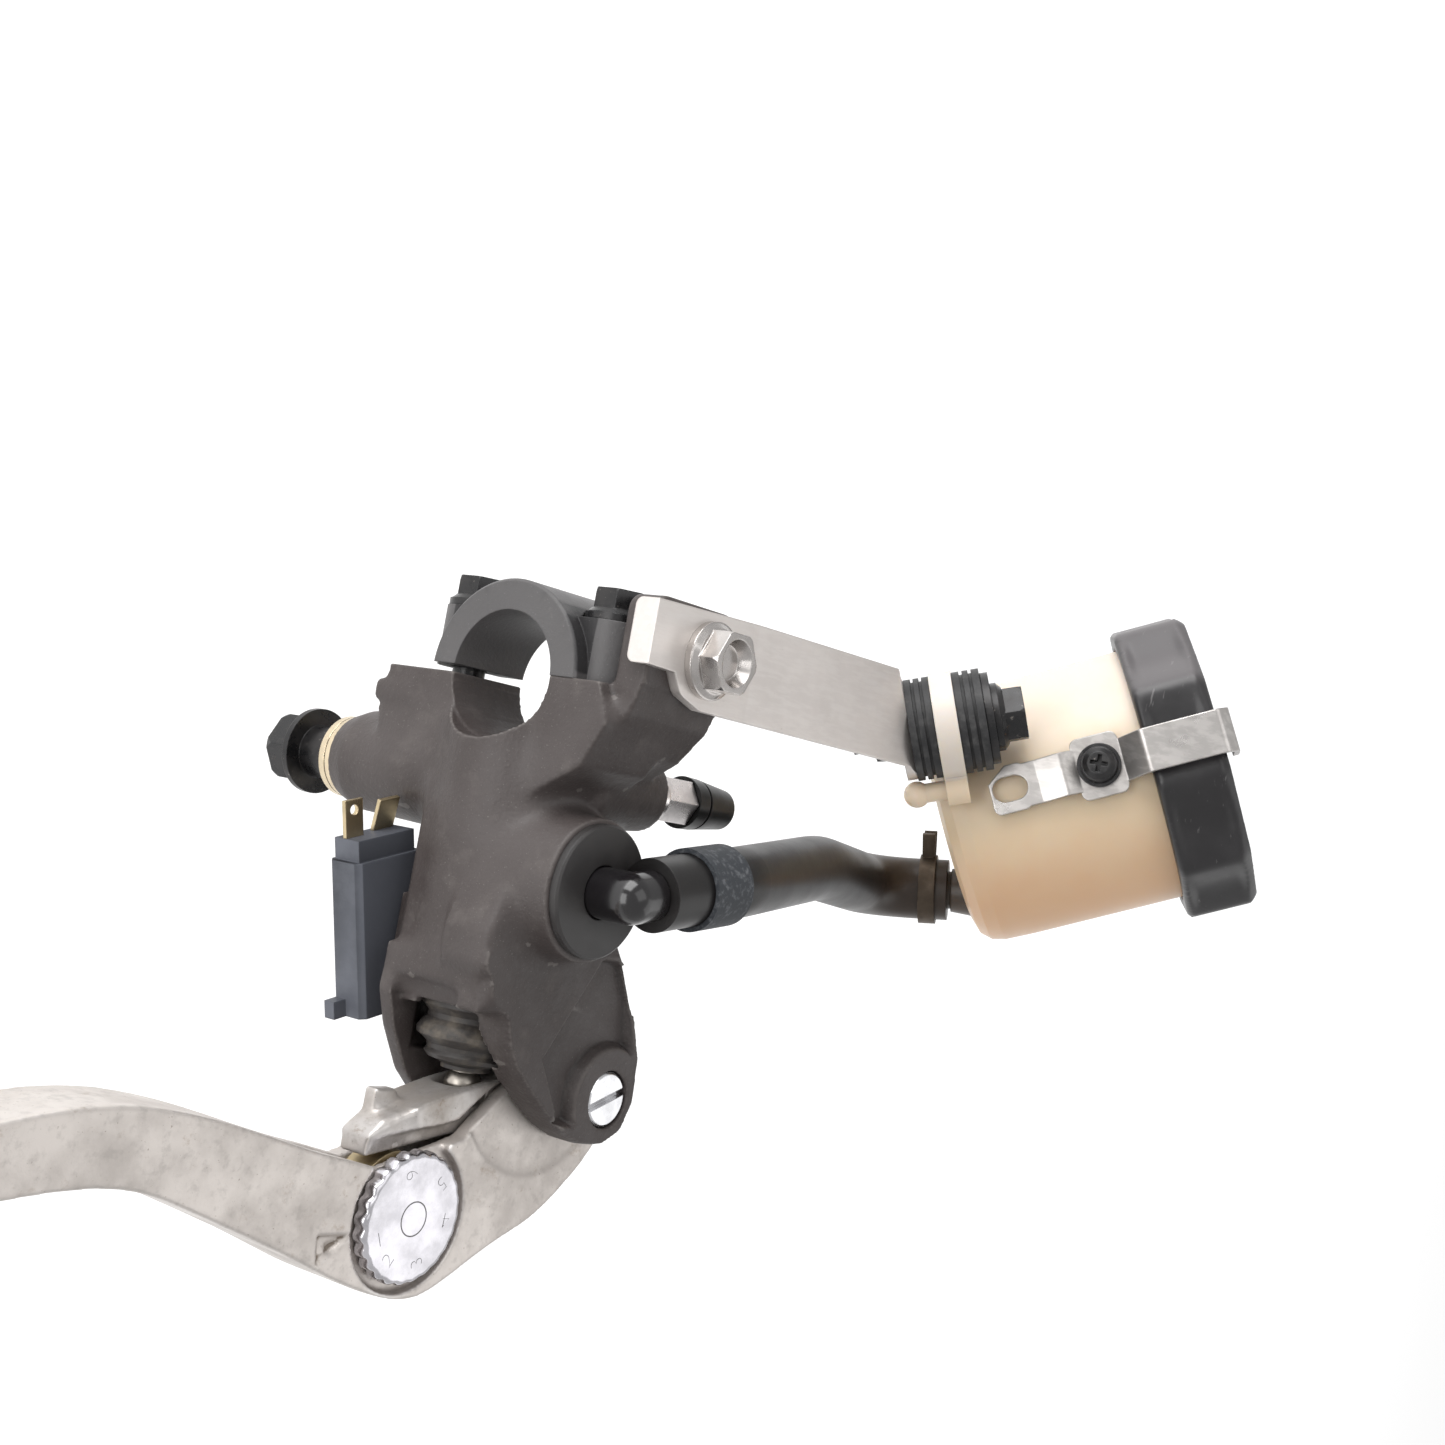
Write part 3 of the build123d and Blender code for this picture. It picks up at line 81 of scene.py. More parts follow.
# --------------------------------------------------------------------------- node helpers
class Tree:
    """Shorthand for building one material's nodes."""

    def __init__(self, name):
        self.material = bpy.data.materials.new(name)
        self.material.use_nodes = True
        self.tree = self.material.node_tree
        self.tree.nodes.clear()
        self.out = self.node("ShaderNodeOutputMaterial")
        self.shader = self.node("ShaderNodeBsdfPrincipled")
        self.link(self.shader.outputs[0], self.out.inputs[0])
        self.coord = self.node("ShaderNodeTexCoord").outputs["Object"]

    def node(self, kind, **settings):
        n = self.tree.nodes.new(kind)
        for key, value in settings.items():
            setattr(n, key, value)
        return n

    def link(self, a, b):
        self.tree.links.new(a, b)

    def put(self, socket, value):
        """Link a socket to a node's output, or set it to a plain value."""
        if isinstance(value, bpy.types.NodeSocket):
            self.link(value, socket)
        elif isinstance(value, (tuple, list)) and len(value) == 3 and socket.type == "RGBA":
            socket.default_value = (*value, 1.0)
        else:
            socket.default_value = value

    def noise(self, scale, detail=4.0, rough=0.55, stretch=None):
        n = self.node("ShaderNodeTexNoise")
        n.inputs["Scale"].default_value = scale
        n.inputs["Detail"].default_value = detail
        n.inputs["Roughness"].default_value = rough
        self.link(self.place(stretch), n.inputs["Vector"])
        return n.outputs["Fac"]

    def place(self, stretch):
        """The piece's own coordinates, stretched if asked."""
        if stretch is None:
            return self.coord
        m = self.node("ShaderNodeMapping")
        m.inputs["Scale"].default_value = stretch
        self.link(self.coord, m.inputs["Vector"])
        return m.outputs["Vector"]

    def cells(self, scale):
        n = self.node("ShaderNodeTexVoronoi", feature="F1")
        n.inputs["Scale"].default_value = scale
        self.link(self.coord, n.inputs["Vector"])
        return n.outputs["Distance"]

    def ramp(self, value, low, high, a=0.0, b=1.0):
        """Goes smoothly from a to b while value goes from low to high."""
        n = self.node("ShaderNodeMapRange", interpolation_type="SMOOTHSTEP")
        self.put(n.inputs["Value"], value)
        n.inputs["From Min"].default_value = low
        n.inputs["From Max"].default_value = high
        n.inputs["To Min"].default_value = a
        n.inputs["To Max"].default_value = b
        return n.outputs["Result"]

    def math(self, kind, a, b=0.0):
        n = self.node("ShaderNodeMath", operation=kind)
        self.put(n.inputs[0], a)
        self.put(n.inputs[1], b)
        return n.outputs[0]

    def mix(self, factor, a, b):
        n = self.node("ShaderNodeMix", data_type="RGBA", blend_type="MIX")
        self.put(n.inputs["Factor"], factor)
        self.put(n.inputs[6], a)
        self.put(n.inputs[7], b)
        return n.outputs[2]

    def facing(self, direction):
        """How far the surface looks along a direction of the part's own frame, -1 to 1."""
        g = self.node("ShaderNodeNewGeometry")
        v = self.node("ShaderNodeVectorMath", operation="DOT_PRODUCT")
        self.link(g.outputs["Normal"], v.inputs[0])
        v.inputs[1].default_value = direction
        return v.outputs["Value"]

    def along(self, direction, origin=(0.0, 0.0, 0.0)):
        """Distance in metres along a direction of the part's own frame."""
        s = self.node("ShaderNodeVectorMath", operation="SUBTRACT")
        self.link(self.coord, s.inputs[0])
        s.inputs[1].default_value = origin
        v = self.node("ShaderNodeVectorMath", operation="DOT_PRODUCT")
        self.link(s.outputs[0], v.inputs[0])
        v.inputs[1].default_value = direction
        return v.outputs["Value"]

    def reach(self, centre):
        """Distance in metres from a point of the part's own frame."""
        v = self.node("ShaderNodeVectorMath", operation="DISTANCE")
        self.link(self.coord, v.inputs[0])
        v.inputs[1].default_value = tuple(centre)
        return v.outputs["Value"]

    def edges(self, low, high):
        """Outer edges, where paint and dirt rub off."""
        g = self.node("ShaderNodeNewGeometry")
        return self.ramp(g.outputs["Pointiness"], low, high)

    def creases(self, low, high):
        """Inner corners, for darkening them: painted shade on the cast paint, a darker soil tone on the
        bare alloy.
        """
        g = self.node("ShaderNodeNewGeometry")
        return self.ramp(g.outputs["Pointiness"], low, high)

    def bumps(self, layers, radius=0.0):
        """Stack of (height, strength, distance in metres), over a rounded edge of that radius."""
        last = None
        if radius:
            b = self.node("ShaderNodeBevel", samples=6)
            b.inputs["Radius"].default_value = radius
            last = b.outputs[0]
        for height, strength, distance in layers:
            n = self.node("ShaderNodeBump")
            n.inputs["Strength"].default_value = strength
            n.inputs["Distance"].default_value = distance
            self.link(height, n.inputs["Height"])
            if last is not None:
                self.link(last, n.inputs["Normal"])
            last = n.outputs[0]
        if last is not None:
            self.link(last, self.shader.inputs["Normal"])

    def finish(self, color, rough, metal=0.0, specular=0.5):
        self.put(self.shader.inputs["Base Color"], color)
        self.put(self.shader.inputs["Roughness"], rough)
        self.shader.inputs["Metallic"].default_value = metal
        self.shader.inputs["Specular IOR Level"].default_value = specular
        return self.material


# --------------------------------------------------------------------------- materials
def shade(color, amount):
    """The colour made darker by a factor."""
    return tuple(c * amount for c in color)


# noise scales are per metre, so 1150 gives a grain a little under a millimetre across


def cast_paint():
    """Worn grey-brown paint on a pebbled casting."""
    t = Tree("cast_paint")
    patch = t.noise(45, 3, 0.5)
    dust = t.noise(150, 6, 0.65)
    pebble = t.noise(1150, 3, 0.55)
    base = t.mix(t.ramp(patch, 0.35, 0.7), (0.043, 0.034, 0.032), (0.062, 0.052, 0.050))
    base = t.mix(t.ramp(dust, 0.50, 0.72, 0, 0.55), base, (0.094, 0.082, 0.077))
    base = t.mix(t.ramp(t.noise(2600, 2, 0.5), 0.66, 0.74, 0, 0.5), base, (0.15, 0.14, 0.13))
    base = t.mix(t.math("MULTIPLY", t.edges(0.525, 0.575), 0.55), base, (0.16, 0.145, 0.135))
    # painted shade: inner corners darkened towards near black
    base = t.mix(t.math("MULTIPLY", t.creases(0.485, 0.44), 0.6), base, (0.016, 0.013, 0.012))
    layers = [(patch, 0.12, 0.0006), (pebble, 0.42, 0.00028), (t.cells(1500), 0.14, 0.00012)]
    t.bumps(layers, 0.0002)
    return t.finish(base, t.ramp(dust, 0.3, 0.8, 0.46, 0.66), 0.0, 0.42)


def clamp_paint():
    """The darker, smoother paint of the handlebar clamp."""
    t = Tree("clamp_paint")
    patch = t.noise(70, 4, 0.55)
    base = t.mix(t.ramp(patch, 0.3, 0.7), (0.016, 0.015, 0.016), (0.028, 0.027, 0.028))
    base = t.mix(t.ramp(t.noise(2600, 2, 0.5), 0.68, 0.75, 0, 0.5), base, (0.14, 0.135, 0.135))
    base = t.mix(t.ramp(t.noise(260, 6, 0.7), 0.60, 0.74, 0, 0.4), base, (0.10, 0.092, 0.088))
    base = t.mix(t.math("MULTIPLY", t.edges(0.53, 0.60), 0.3), base, (0.22, 0.21, 0.21))
    t.bumps([(t.noise(1300, 4, 0.6), 0.32, 0.0002), (patch, 0.1, 0.0004)], 0.0004)
    return t.finish(base, t.ramp(patch, 0.3, 0.8, 0.40, 0.56), 0.0, 0.38)


def alloy(name, light, dark, dirt, rough=(0.34, 0.56), soil=0.5):
    """Bare forged alloy, mottled, with spots of soil, darker creases and rubbed edges."""
    t = Tree(name)
    cloud = t.noise(75, 6, 0.65)
    mottle = t.noise(420, 5, 0.65)
    base = t.mix(t.ramp(cloud, 0.35, 0.68), light, dark)
    base = t.mix(t.ramp(mottle, 0.50, 0.70, 0, 0.45), base, shade(dark, 0.72))
    spots = t.ramp(t.noise(240, 7, 0.74), 0.58, 0.72, 0, soil)
    base = t.mix(spots, base, dirt)
    base = t.mix(t.ramp(t.noise(1500, 3, 0.6), 0.66, 0.74, 0, 0.6), base, shade(dirt, 0.6))
    # inner corners darkened to a deeper soil tone
    base = t.mix(t.math("MULTIPLY", t.creases(0.488, 0.45), 0.85), base, shade(dirt, 0.5))
    base = t.mix(t.math("MULTIPLY", t.edges(0.52, 0.58), 0.6), base, (0.90, 0.88, 0.86))
    t.bumps([(t.noise(1300, 4, 0.6), 0.22, 0.00014), (mottle, 0.10, 0.0002)], 0.0003)
    return t.finish(base, t.ramp(cloud, 0.3, 0.75, *rough), 0.6, 0.5)


def brushed(name, light, dark, stretch, rough):
    """Sheet steel with a grain, which is finer along an axis with a larger stretch."""
    t = Tree(name)
    line = t.noise(180, 4, 0.6, stretch=stretch)
    cloud = t.noise(38, 5, 0.6)
    base = t.mix(t.ramp(cloud, 0.32, 0.7), light, dark)
    base = t.mix(t.ramp(line, 0.42, 0.62, 0, 0.25), base, (0.80, 0.77, 0.74))
    base = t.mix(t.ramp(t.noise(330, 5, 0.7), 0.66, 0.76, 0, 0.4), base, (0.36, 0.30, 0.25))
    t.bumps([(line, 0.07, 0.0001), (t.noise(1500, 3, 0.5), 0.05, 0.00008)], 0.0004)
    return t.finish(base, t.ramp(cloud, 0.3, 0.75, *rough), 0.85, 0.5)


def plated(name, color, rust, rough=(0.14, 0.34), amount=0.35):
    """Bright metal with spots of dull corrosion."""
    t = Tree(name)
    cloud = t.noise(150, 5, 0.6)
    base = t.mix(t.ramp(cloud, 0.35, 0.7), color, shade(color, 0.72))
    spots = t.ramp(t.noise(420, 6, 0.7), 0.62, 0.74, 0, amount)
    base = t.mix(spots, base, rust)
    t.bumps([(t.noise(1800, 3, 0.5), 0.08, 0.00008), (t.noise(300, 4, 0.6), 0.06, 0.0002)], 0.0003)
    dull = t.math("MULTIPLY", spots, 0.5)
    return t.finish(base, t.math("ADD", t.ramp(cloud, 0.3, 0.75, *rough), dull), 1.0)


def black_bolt():
    """Blackened steel, rubbed and rusted in spots."""
    t = Tree("black_bolt")
    cloud = t.noise(220, 5, 0.65)
    base = t.mix(t.ramp(cloud, 0.35, 0.7), (0.010, 0.010, 0.011), (0.026, 0.024, 0.024))
    base = t.mix(t.ramp(t.noise(700, 6, 0.7), 0.62, 0.72, 0, 0.6), base, (0.30, 0.27, 0.24))
    base = t.mix(t.ramp(t.noise(360, 5, 0.7), 0.66, 0.75, 0, 0.7), base, (0.16, 0.085, 0.045))
    t.bumps([(cloud, 0.12, 0.0002), (t.noise(1600, 3, 0.5), 0.10, 0.0001)], 0.0003)
    return t.finish(base, t.ramp(cloud, 0.3, 0.75, 0.22, 0.46), 0.35, 0.6)


def rubber(name, color, dust, amount=0.4, rough=(0.45, 0.7), scale=160, fine=1400, aged=None):
    """Dusty rubber. With a colour for aged, it turns to it towards the reservoir."""
    t = Tree(name)
    cloud = t.noise(scale, 5, 0.6)
    base = t.mix(t.ramp(cloud, 0.45, 0.78, 0, amount), color, dust)
    base = t.mix(t.ramp(t.noise(2400, 2, 0.5), 0.67, 0.76, 0, 0.35), base, dust)
    if aged:
        base = t.mix(t.ramp(t.along((-1.0, 0.0, 0.0)), 0.080, 0.108, 0, 0.85), base, aged)
    t.bumps([(t.noise(fine, 4, 0.6), 0.12, 0.0001), (cloud, 0.06, 0.0003)], 0.0002)
    return t.finish(base, t.ramp(cloud, 0.3, 0.8, *rough), 0.0, 0.4)


def plain_plastic(name, color, faded, rough, amount, coat=0.0):
    """Moulded plastic, faded in clouds."""
    t = Tree(name)
    cloud = t.noise(90, 4, 0.6)
    base = t.mix(t.ramp(cloud, 0.4, 0.75, 0, amount), color, faded)
    t.bumps([(t.noise(1700, 3, 0.5), 0.06, 0.00008)], 0.0003)
    t.shader.inputs["Coat Weight"].default_value = coat
    t.shader.inputs["Coat Roughness"].default_value = 0.12
    return t.finish(base, t.ramp(cloud, 0.3, 0.75, *rough), 0.0, 0.5)


RES_N = Vector((-0.39, -0.41, 0.825)).normalized()      # reservoir's axis
RES_BASE = Vector((-110.6, 10.2, 22.6)) * MM            # centre of its floor
LUG_AT = Vector((-80.6, -8.2, 35.8)) * MM               # its mounting lug
SPIGOT_ROOT = Vector((-112.0, 24.6, 26.0)) * MM         # its hose spigot
# across the reservoir's wall, towards the side away from the light
SHADED_SIDE = Vector((0.10, 1.0, 0.0))
SHADED_WALL = (SHADED_SIDE - RES_N * RES_N.dot(SHADED_SIDE)).normalized()


def nylon():
    """Translucent nylon, browner down the wall, partly its own aged brown and partly painted shade on
    the side away from the light, with a pale lug and a dark spigot.
    """
    t = Tree("aged_nylon_painted_shade")
    # partly painted shade: paler on the lit side of the wall, darker and browner away from it, besides
    # the nylon's own brown
    height = t.along(tuple(SHADED_WALL), tuple(RES_BASE))
    cloud = t.noise(26, 4, 0.6)
    level = t.math("ADD", height, t.ramp(cloud, 0.3, 0.7, -0.004, 0.004))
    base = t.mix(t.ramp(level, -0.020, 0.006), (0.70, 0.605, 0.515), (0.61, 0.49, 0.34))
    base = t.mix(t.ramp(level, 0.004, 0.024), base, (0.58, 0.37, 0.22))
    base = t.mix(t.ramp(t.noise(400, 5, 0.7), 0.66, 0.78, 0, 0.25), base, (0.46, 0.30, 0.18))
    base = t.mix(t.ramp(t.reach(LUG_AT), 0.0118, 0.0095), base, (0.58, 0.56, 0.555))
    base = t.mix(t.ramp(t.reach(SPIGOT_ROOT), 0.0105, 0.0075), base, (0.060, 0.040, 0.026))
    t.shader.inputs["Subsurface Weight"].default_value = 0.35
    t.shader.inputs["Subsurface Radius"].default_value = (0.0030, 0.0018, 0.0009)
    t.shader.inputs["Subsurface Scale"].default_value = 1.0
    t.bumps([(t.noise(900, 3, 0.5), 0.05, 0.0001)], 0.0004)
    return t.finish(base, t.ramp(cloud, 0.3, 0.75, 0.30, 0.44), 0.0, 0.45)


def cap_wear_and_painted_light():
    """Black moulded plastic, faded in clouds and scratched, with painted light: the side that faces the
    rider and the key lamp is painted lighter.
    """
    t = Tree("cap_wear_and_painted_light")
    cloud = t.noise(80, 5, 0.6)
    # painted light: surfaces that face the key lamp are painted lighter
    top = t.facing((0.1, -1.0, -0.25))
    base = t.mix(t.ramp(cloud, 0.35, 0.75, 0, 0.5), (0.013, 0.012, 0.013), (0.030, 0.028, 0.030))
    base = t.mix(t.ramp(top, 0.1, 0.9, 0, 0.75), base, (0.135, 0.125, 0.128))
    scratch = t.noise(420, 4, 0.6, stretch=(1.0, 0.3, 2.0))
    base = t.mix(t.ramp(scratch, 0.63, 0.72, 0, 0.35), base, (0.25, 0.24, 0.24))
    base = t.mix(t.math("MULTIPLY", t.edges(0.53, 0.6), 0.5), base, (0.22, 0.21, 0.21))
    t.bumps([(t.noise(1300, 4, 0.6), 0.12, 0.0001), (scratch, 0.05, 0.0001)], 0.0005)
    return t.finish(base, t.ramp(cloud, 0.3, 0.75, 0.30, 0.44), 0.0, 0.5)


def switch_case():
    """Black plastic, painted lighter and bluish on its outboard face as painted light, where the light
    falls.
    """
    t = Tree("switch_case")
    cloud = t.noise(120, 6, 0.65)
    # painted light: faces looking outboard get a lighter bluish tone
    lit_face = t.ramp(t.facing((1.0, 0.0, 0.15)), 0.55, 0.95)
    base = t.mix(t.ramp(cloud, 0.35, 0.7), (0.004, 0.004, 0.005), (0.010, 0.010, 0.012))
    lit_face_tone = t.mix(t.ramp(cloud, 0.35, 0.7), (0.055, 0.058, 0.068), (0.10, 0.105, 0.12))
    base = t.mix(lit_face, base, lit_face_tone)
    base = t.mix(t.math("MULTIPLY", t.edges(0.54, 0.62), 0.5), base, (0.16, 0.17, 0.20))
    t.bumps([(t.noise(1500, 4, 0.6), 0.12, 0.0001)], 0.0004)
    return t.finish(base, t.ramp(cloud, 0.3, 0.75, 0.42, 0.60), 0.0, 0.2)


MATERIALS = {
    "cast_body": cast_paint(),
    "clamp_grey": clamp_paint(),
    "lever_alloy": alloy("lever_alloy", (0.61, 0.565, 0.53), (0.50, 0.46, 0.43), (0.30, 0.23, 0.17)),
    "knocker_alloy": alloy("knocker_alloy", (0.52, 0.495, 0.48), (0.37, 0.335, 0.305),
                           (0.22, 0.165, 0.12), (0.28, 0.5), 0.75),
    "bracket_steel": brushed("bracket_steel", (0.74, 0.695, 0.665), (0.64, 0.60, 0.575),
                             (1.0, 6.0, 6.0), (0.38, 0.54)),
    "clip_steel": brushed("clip_steel", (0.45, 0.43, 0.415), (0.36, 0.34, 0.325),
                          (3.0, 3.0, 0.6), (0.26, 0.42)),
    "bolt_plated": plated("bolt_plated", (0.60, 0.57, 0.55), (0.26, 0.19, 0.14)),
    "bolt_black": black_bolt(),
    "screw_black": black_bolt(),
    "washer_gold": plated("washer_gold", (0.78, 0.66, 0.47), (0.35, 0.25, 0.14), amount=0.25),
    "pin_chrome": plated("pin_chrome", (0.83, 0.83, 0.85), (0.30, 0.26, 0.22), (0.08, 0.2), 0.2),
    "dial_chrome": plated("dial_chrome", (0.74, 0.725, 0.765), (0.52, 0.49, 0.48), (0.14, 0.24), 0.12),
    "cam_brass": plated("cam_brass", (0.55, 0.45, 0.28), (0.26, 0.19, 0.11), (0.3, 0.5), 0.5),
    "terminal_brass": plated("terminal_brass", (0.66, 0.54, 0.34), (0.25, 0.17, 0.09),
                             (0.25, 0.45), 0.5),
    "rubber_black": rubber("rubber_black", (0.007, 0.007, 0.007), (0.045, 0.042, 0.04),
                           0.4, (0.30, 0.48)),
    "rubber_worn": rubber("rubber_worn", (0.016, 0.016, 0.017), (0.10, 0.098, 0.096),
                          0.65, (0.42, 0.65), 260),
    "hose_rubber": rubber("hose_rubber", (0.008, 0.007, 0.007), (0.020, 0.017, 0.016),
                          0.35, (0.34, 0.46), 90, 1900, aged=(0.034, 0.021, 0.013)),
    "boot_rubber": rubber("boot_rubber", (0.040, 0.036, 0.034), (0.16, 0.135, 0.105),
                          0.75, (0.4, 0.6), 240),
    "band_grey": rubber("band_grey", (0.030, 0.034, 0.040), (0.13, 0.135, 0.145),
                        0.95, (0.6, 0.8), 900, 900),
    "clip_brown": plated("clip_brown", (0.10, 0.078, 0.06), (0.13, 0.07, 0.035), (0.4, 0.6), 0.6),
    "elbow_plastic": plain_plastic("elbow_plastic", (0.008, 0.007, 0.008), (0.026, 0.023, 0.022),
                                   (0.16, 0.30), 0.3, 0.35),
    "cover_plastic": plain_plastic("cover_plastic", (0.022, 0.020, 0.020), (0.045, 0.042, 0.040),
                                   (0.42, 0.6), 0.6),
    "reservoir_nylon": nylon(),
    "cap_plastic": cap_wear_and_painted_light(),
    "switch_plastic": switch_case(),
    "seal_rubber": rubber("seal_rubber", (0.020, 0.020, 0.021), (0.05, 0.05, 0.05), 0.3),
    "spring_steel": plated("spring_steel", (0.50, 0.49, 0.48), (0.22, 0.16, 0.11), (0.25, 0.4), 0.3),
    "piston_alloy": plated("piston_alloy", (0.62, 0.58, 0.44), (0.3, 0.26, 0.2), (0.25, 0.4), 0.2),
    "rod_steel": plated("rod_steel", (0.50, 0.46, 0.41), (0.22, 0.15, 0.10), (0.28, 0.45), 0.5),
    "bush_bronze": plated("bush_bronze", (0.48, 0.35, 0.20), (0.25, 0.17, 0.1), (0.35, 0.5), 0.3),
}
SLOT = {s["node"]: s["material_slot"] for s in frame["record"]["subparts"]}
BRIGHT_HEX = plated("bright_hex", (0.95, 0.91, 0.90), (0.34, 0.25, 0.18), (0.24, 0.4), 0.3)
for name, ob in NODES.items():
    ob.data.materials.clear()
    ob.data.materials.append(BRIGHT_HEX if name == "bleeder_screw" else MATERIALS[SLOT[name]])
    for p in ob.data.polygons:
        p.material_index = 0

# --------------------------------------------------------------------------- mesh tools
# shapes are worked on in millimetres in the part's frame, and stored in metres
def new_object(label, me):
    ob = bpy.data.objects.new(label, me)
    scene.collection.objects.link(ob)
    return ob


def mesh_from(bm, label):
    """A new mesh from bm, which is freed."""
    me = bpy.data.meshes.new(label)
    bm.to_mesh(me)
    bm.free()
    return me


def copy_shape(name, label):
    """A welded copy of a CAD node's mesh, as a new object."""
    ob = new_object(label, NODES[name].data.copy())
    bm = bmesh.new()
    bm.from_mesh(ob.data)
    bmesh.ops.remove_doubles(bm, verts=bm.verts, dist=2e-6)
    bm.to_mesh(ob.data)
    bm.free()
    return ob


def apply_modifier(ob, kind, **settings):
    """Replace the object's mesh by what one modifier makes of it."""
    m = ob.modifiers.new("step", kind)
    for key, value in settings.items():
        setattr(m, key, value)
    graph = bpy.context.evaluated_depsgraph_get()
    me = bpy.data.meshes.new_from_object(ob.evaluated_get(graph))
    ob.modifiers.clear()
    old = ob.data
    ob.data = me
    bpy.data.meshes.remove(old)


def cut(ob, tool):
    """Take the tool's shape away from the object, and remove the tool."""
    apply_modifier(ob, "BOOLEAN", operation="DIFFERENCE", object=tool, solver="EXACT")
    bpy.data.objects.remove(tool)


def round_bar(centre, axis, r, length, sides=96):
    """A closed cylinder that starts at centre and runs along axis."""
    a = Vector(axis).normalized()
    u = a.orthogonal().normalized()
    w = a.cross(u)
    bm = bmesh.new()
    rings = []
    for t in (0.0, length):
        ring = []
        for k in range(sides):
            q = 2 * math.pi * k / sides
            p = Vector(centre) + a * t + (u * math.cos(q) + w * math.sin(q)) * r
            ring.append(bm.verts.new(p * MM))
        rings.append(ring)
    for k in range(sides):
        j = (k + 1) % sides
        bm.faces.new((rings[0][k], rings[0][j], rings[1][j], rings[1][k]))
    bm.faces.new(list(reversed(rings[0])))
    bm.faces.new(rings[1])
    bmesh.ops.recalc_face_normals(bm, faces=bm.faces)
    return new_object("bar", mesh_from(bm, "bar"))


def step(x, a, b):
    """Goes smoothly from 0 at a to 1 at b, and stays there."""
    t = np.clip((x - a) / (b - a), 0, 1)
    return t * t * (3 - 2 * t)


NEAR_FACE = 0.4                 # how far a point may stray from a machined face


class Skin:
    """A quad mesh's points in millimetres, with smoothing that fills hollows or rounds edges."""

    def __init__(self, ob, voxel):
        apply_modifier(ob, "REMESH", mode="VOXEL", voxel_size=voxel * MM, adaptivity=0.0)
        me = ob.data
        self.ob = ob
        self.n = len(me.vertices)
        v = np.empty(self.n * 3)
        me.vertices.foreach_get("co", v)
        self.v = v.reshape(-1, 3) / MM
        e = np.empty(len(me.edges) * 2, dtype=np.int32)
        me.edges.foreach_get("vertices", e)
        self.e = e.reshape(-1, 2)
        f = np.empty(len(me.loops), dtype=np.int32)
        me.loops.foreach_get("vertex_index", f)
        self.f = f.reshape(-1, 4)
        self.deg = np.bincount(self.e.ravel(), minlength=self.n)[:, None]

    def spread(self, index, values):
        """Add each row of values to the point that index names."""
        return np.stack([np.bincount(index, weights=values[:, k], minlength=self.n)
                         for k in range(3)], 1)

    def lap(self):
        """From each point to the middle of its neighbours."""
        a, b = self.e[:, 0], self.e[:, 1]
        total = self.spread(a, self.v[b]) + self.spread(b, self.v[a])
        return total / self.deg - self.v

    def normals(self):
        q = self.v[self.f]
        n = np.cross(q[:, 2] - q[:, 0], q[:, 3] - q[:, 1])
        total = sum(self.spread(self.f[:, k], n) for k in range(4))
        return total / (np.linalg.norm(total, axis=1, keepdims=True) + 1e-12)

    def fill(self, steps, weight):
        """Raise hollow creases into fillets and leave outer edges alone."""
        w = weight[:, None]
        for k in range(steps):
            if k % 3 == 0:
                n = self.normals()
            d = self.lap()
            up = (d * n).sum(1, keepdims=True)
            self.v += w * (n * np.maximum(up, 0) * 0.9 + (d - n * up) * 0.3)

    def soften(self, steps, weight):
        """Round every edge a little."""
        w = weight[:, None] * 0.5
        for _ in range(steps):
            self.v += self.lap() * w

    def iron(self, steps):
        """Smooth without shrinking."""
        for _ in range(steps):
            self.v += self.lap() * 0.5
            self.v -= self.lap() * 0.5 * 1.04

    def flatten(self, axis, value, where=None):
        """Bring points that lie near a machined flat face back onto it."""
        n = self.normals()[:, axis]
        near = (np.abs(self.v[:, axis] - value) < NEAR_FACE) & (np.abs(n) > 0.75)
        if where is not None:
            near &= where
        self.v[near, axis] = value

    def done(self, keep):
        """Write the points back, with that share of the triangles kept."""
        me = self.ob.data
        me.vertices.foreach_set("co", (self.v * MM).ravel())
        me.update()
        apply_modifier(self.ob, "DECIMATE", ratio=keep)
        me = self.ob.data
        me.polygons.foreach_set("use_smooth", [True] * len(me.polygons))
        me.update()


def inside(x, y, corners):
    """Signed distance to a polygon, negative inside."""
    best = np.full(x.shape, 1e9)
    sign = np.ones(x.shape)
    for (ax, ay), (bx, by) in zip(corners, corners[1:] + corners[:1]):
        ex, ey = bx - ax, by - ay
        t = np.clip(((x - ax) * ex + (y - ay) * ey) / (ex * ex + ey * ey), 0, 1)
        best = np.minimum(best, np.hypot(x - ax - ex * t, y - ay - ey * t))
        if ey:
            crosses = ((ay > y) != (by > y)) & (x < ax + ex * (y - ay) / ey)
            sign[crosses] *= -1
    return best * sign


def dress(ob, slot_name, body, node):
    """Give a shape its material and its body, and let it stand for a CAD node."""
    ob.data.materials.clear()
    ob.data.materials.append(MATERIALS[slot_name])
    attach(ob, body)
    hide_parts(node)


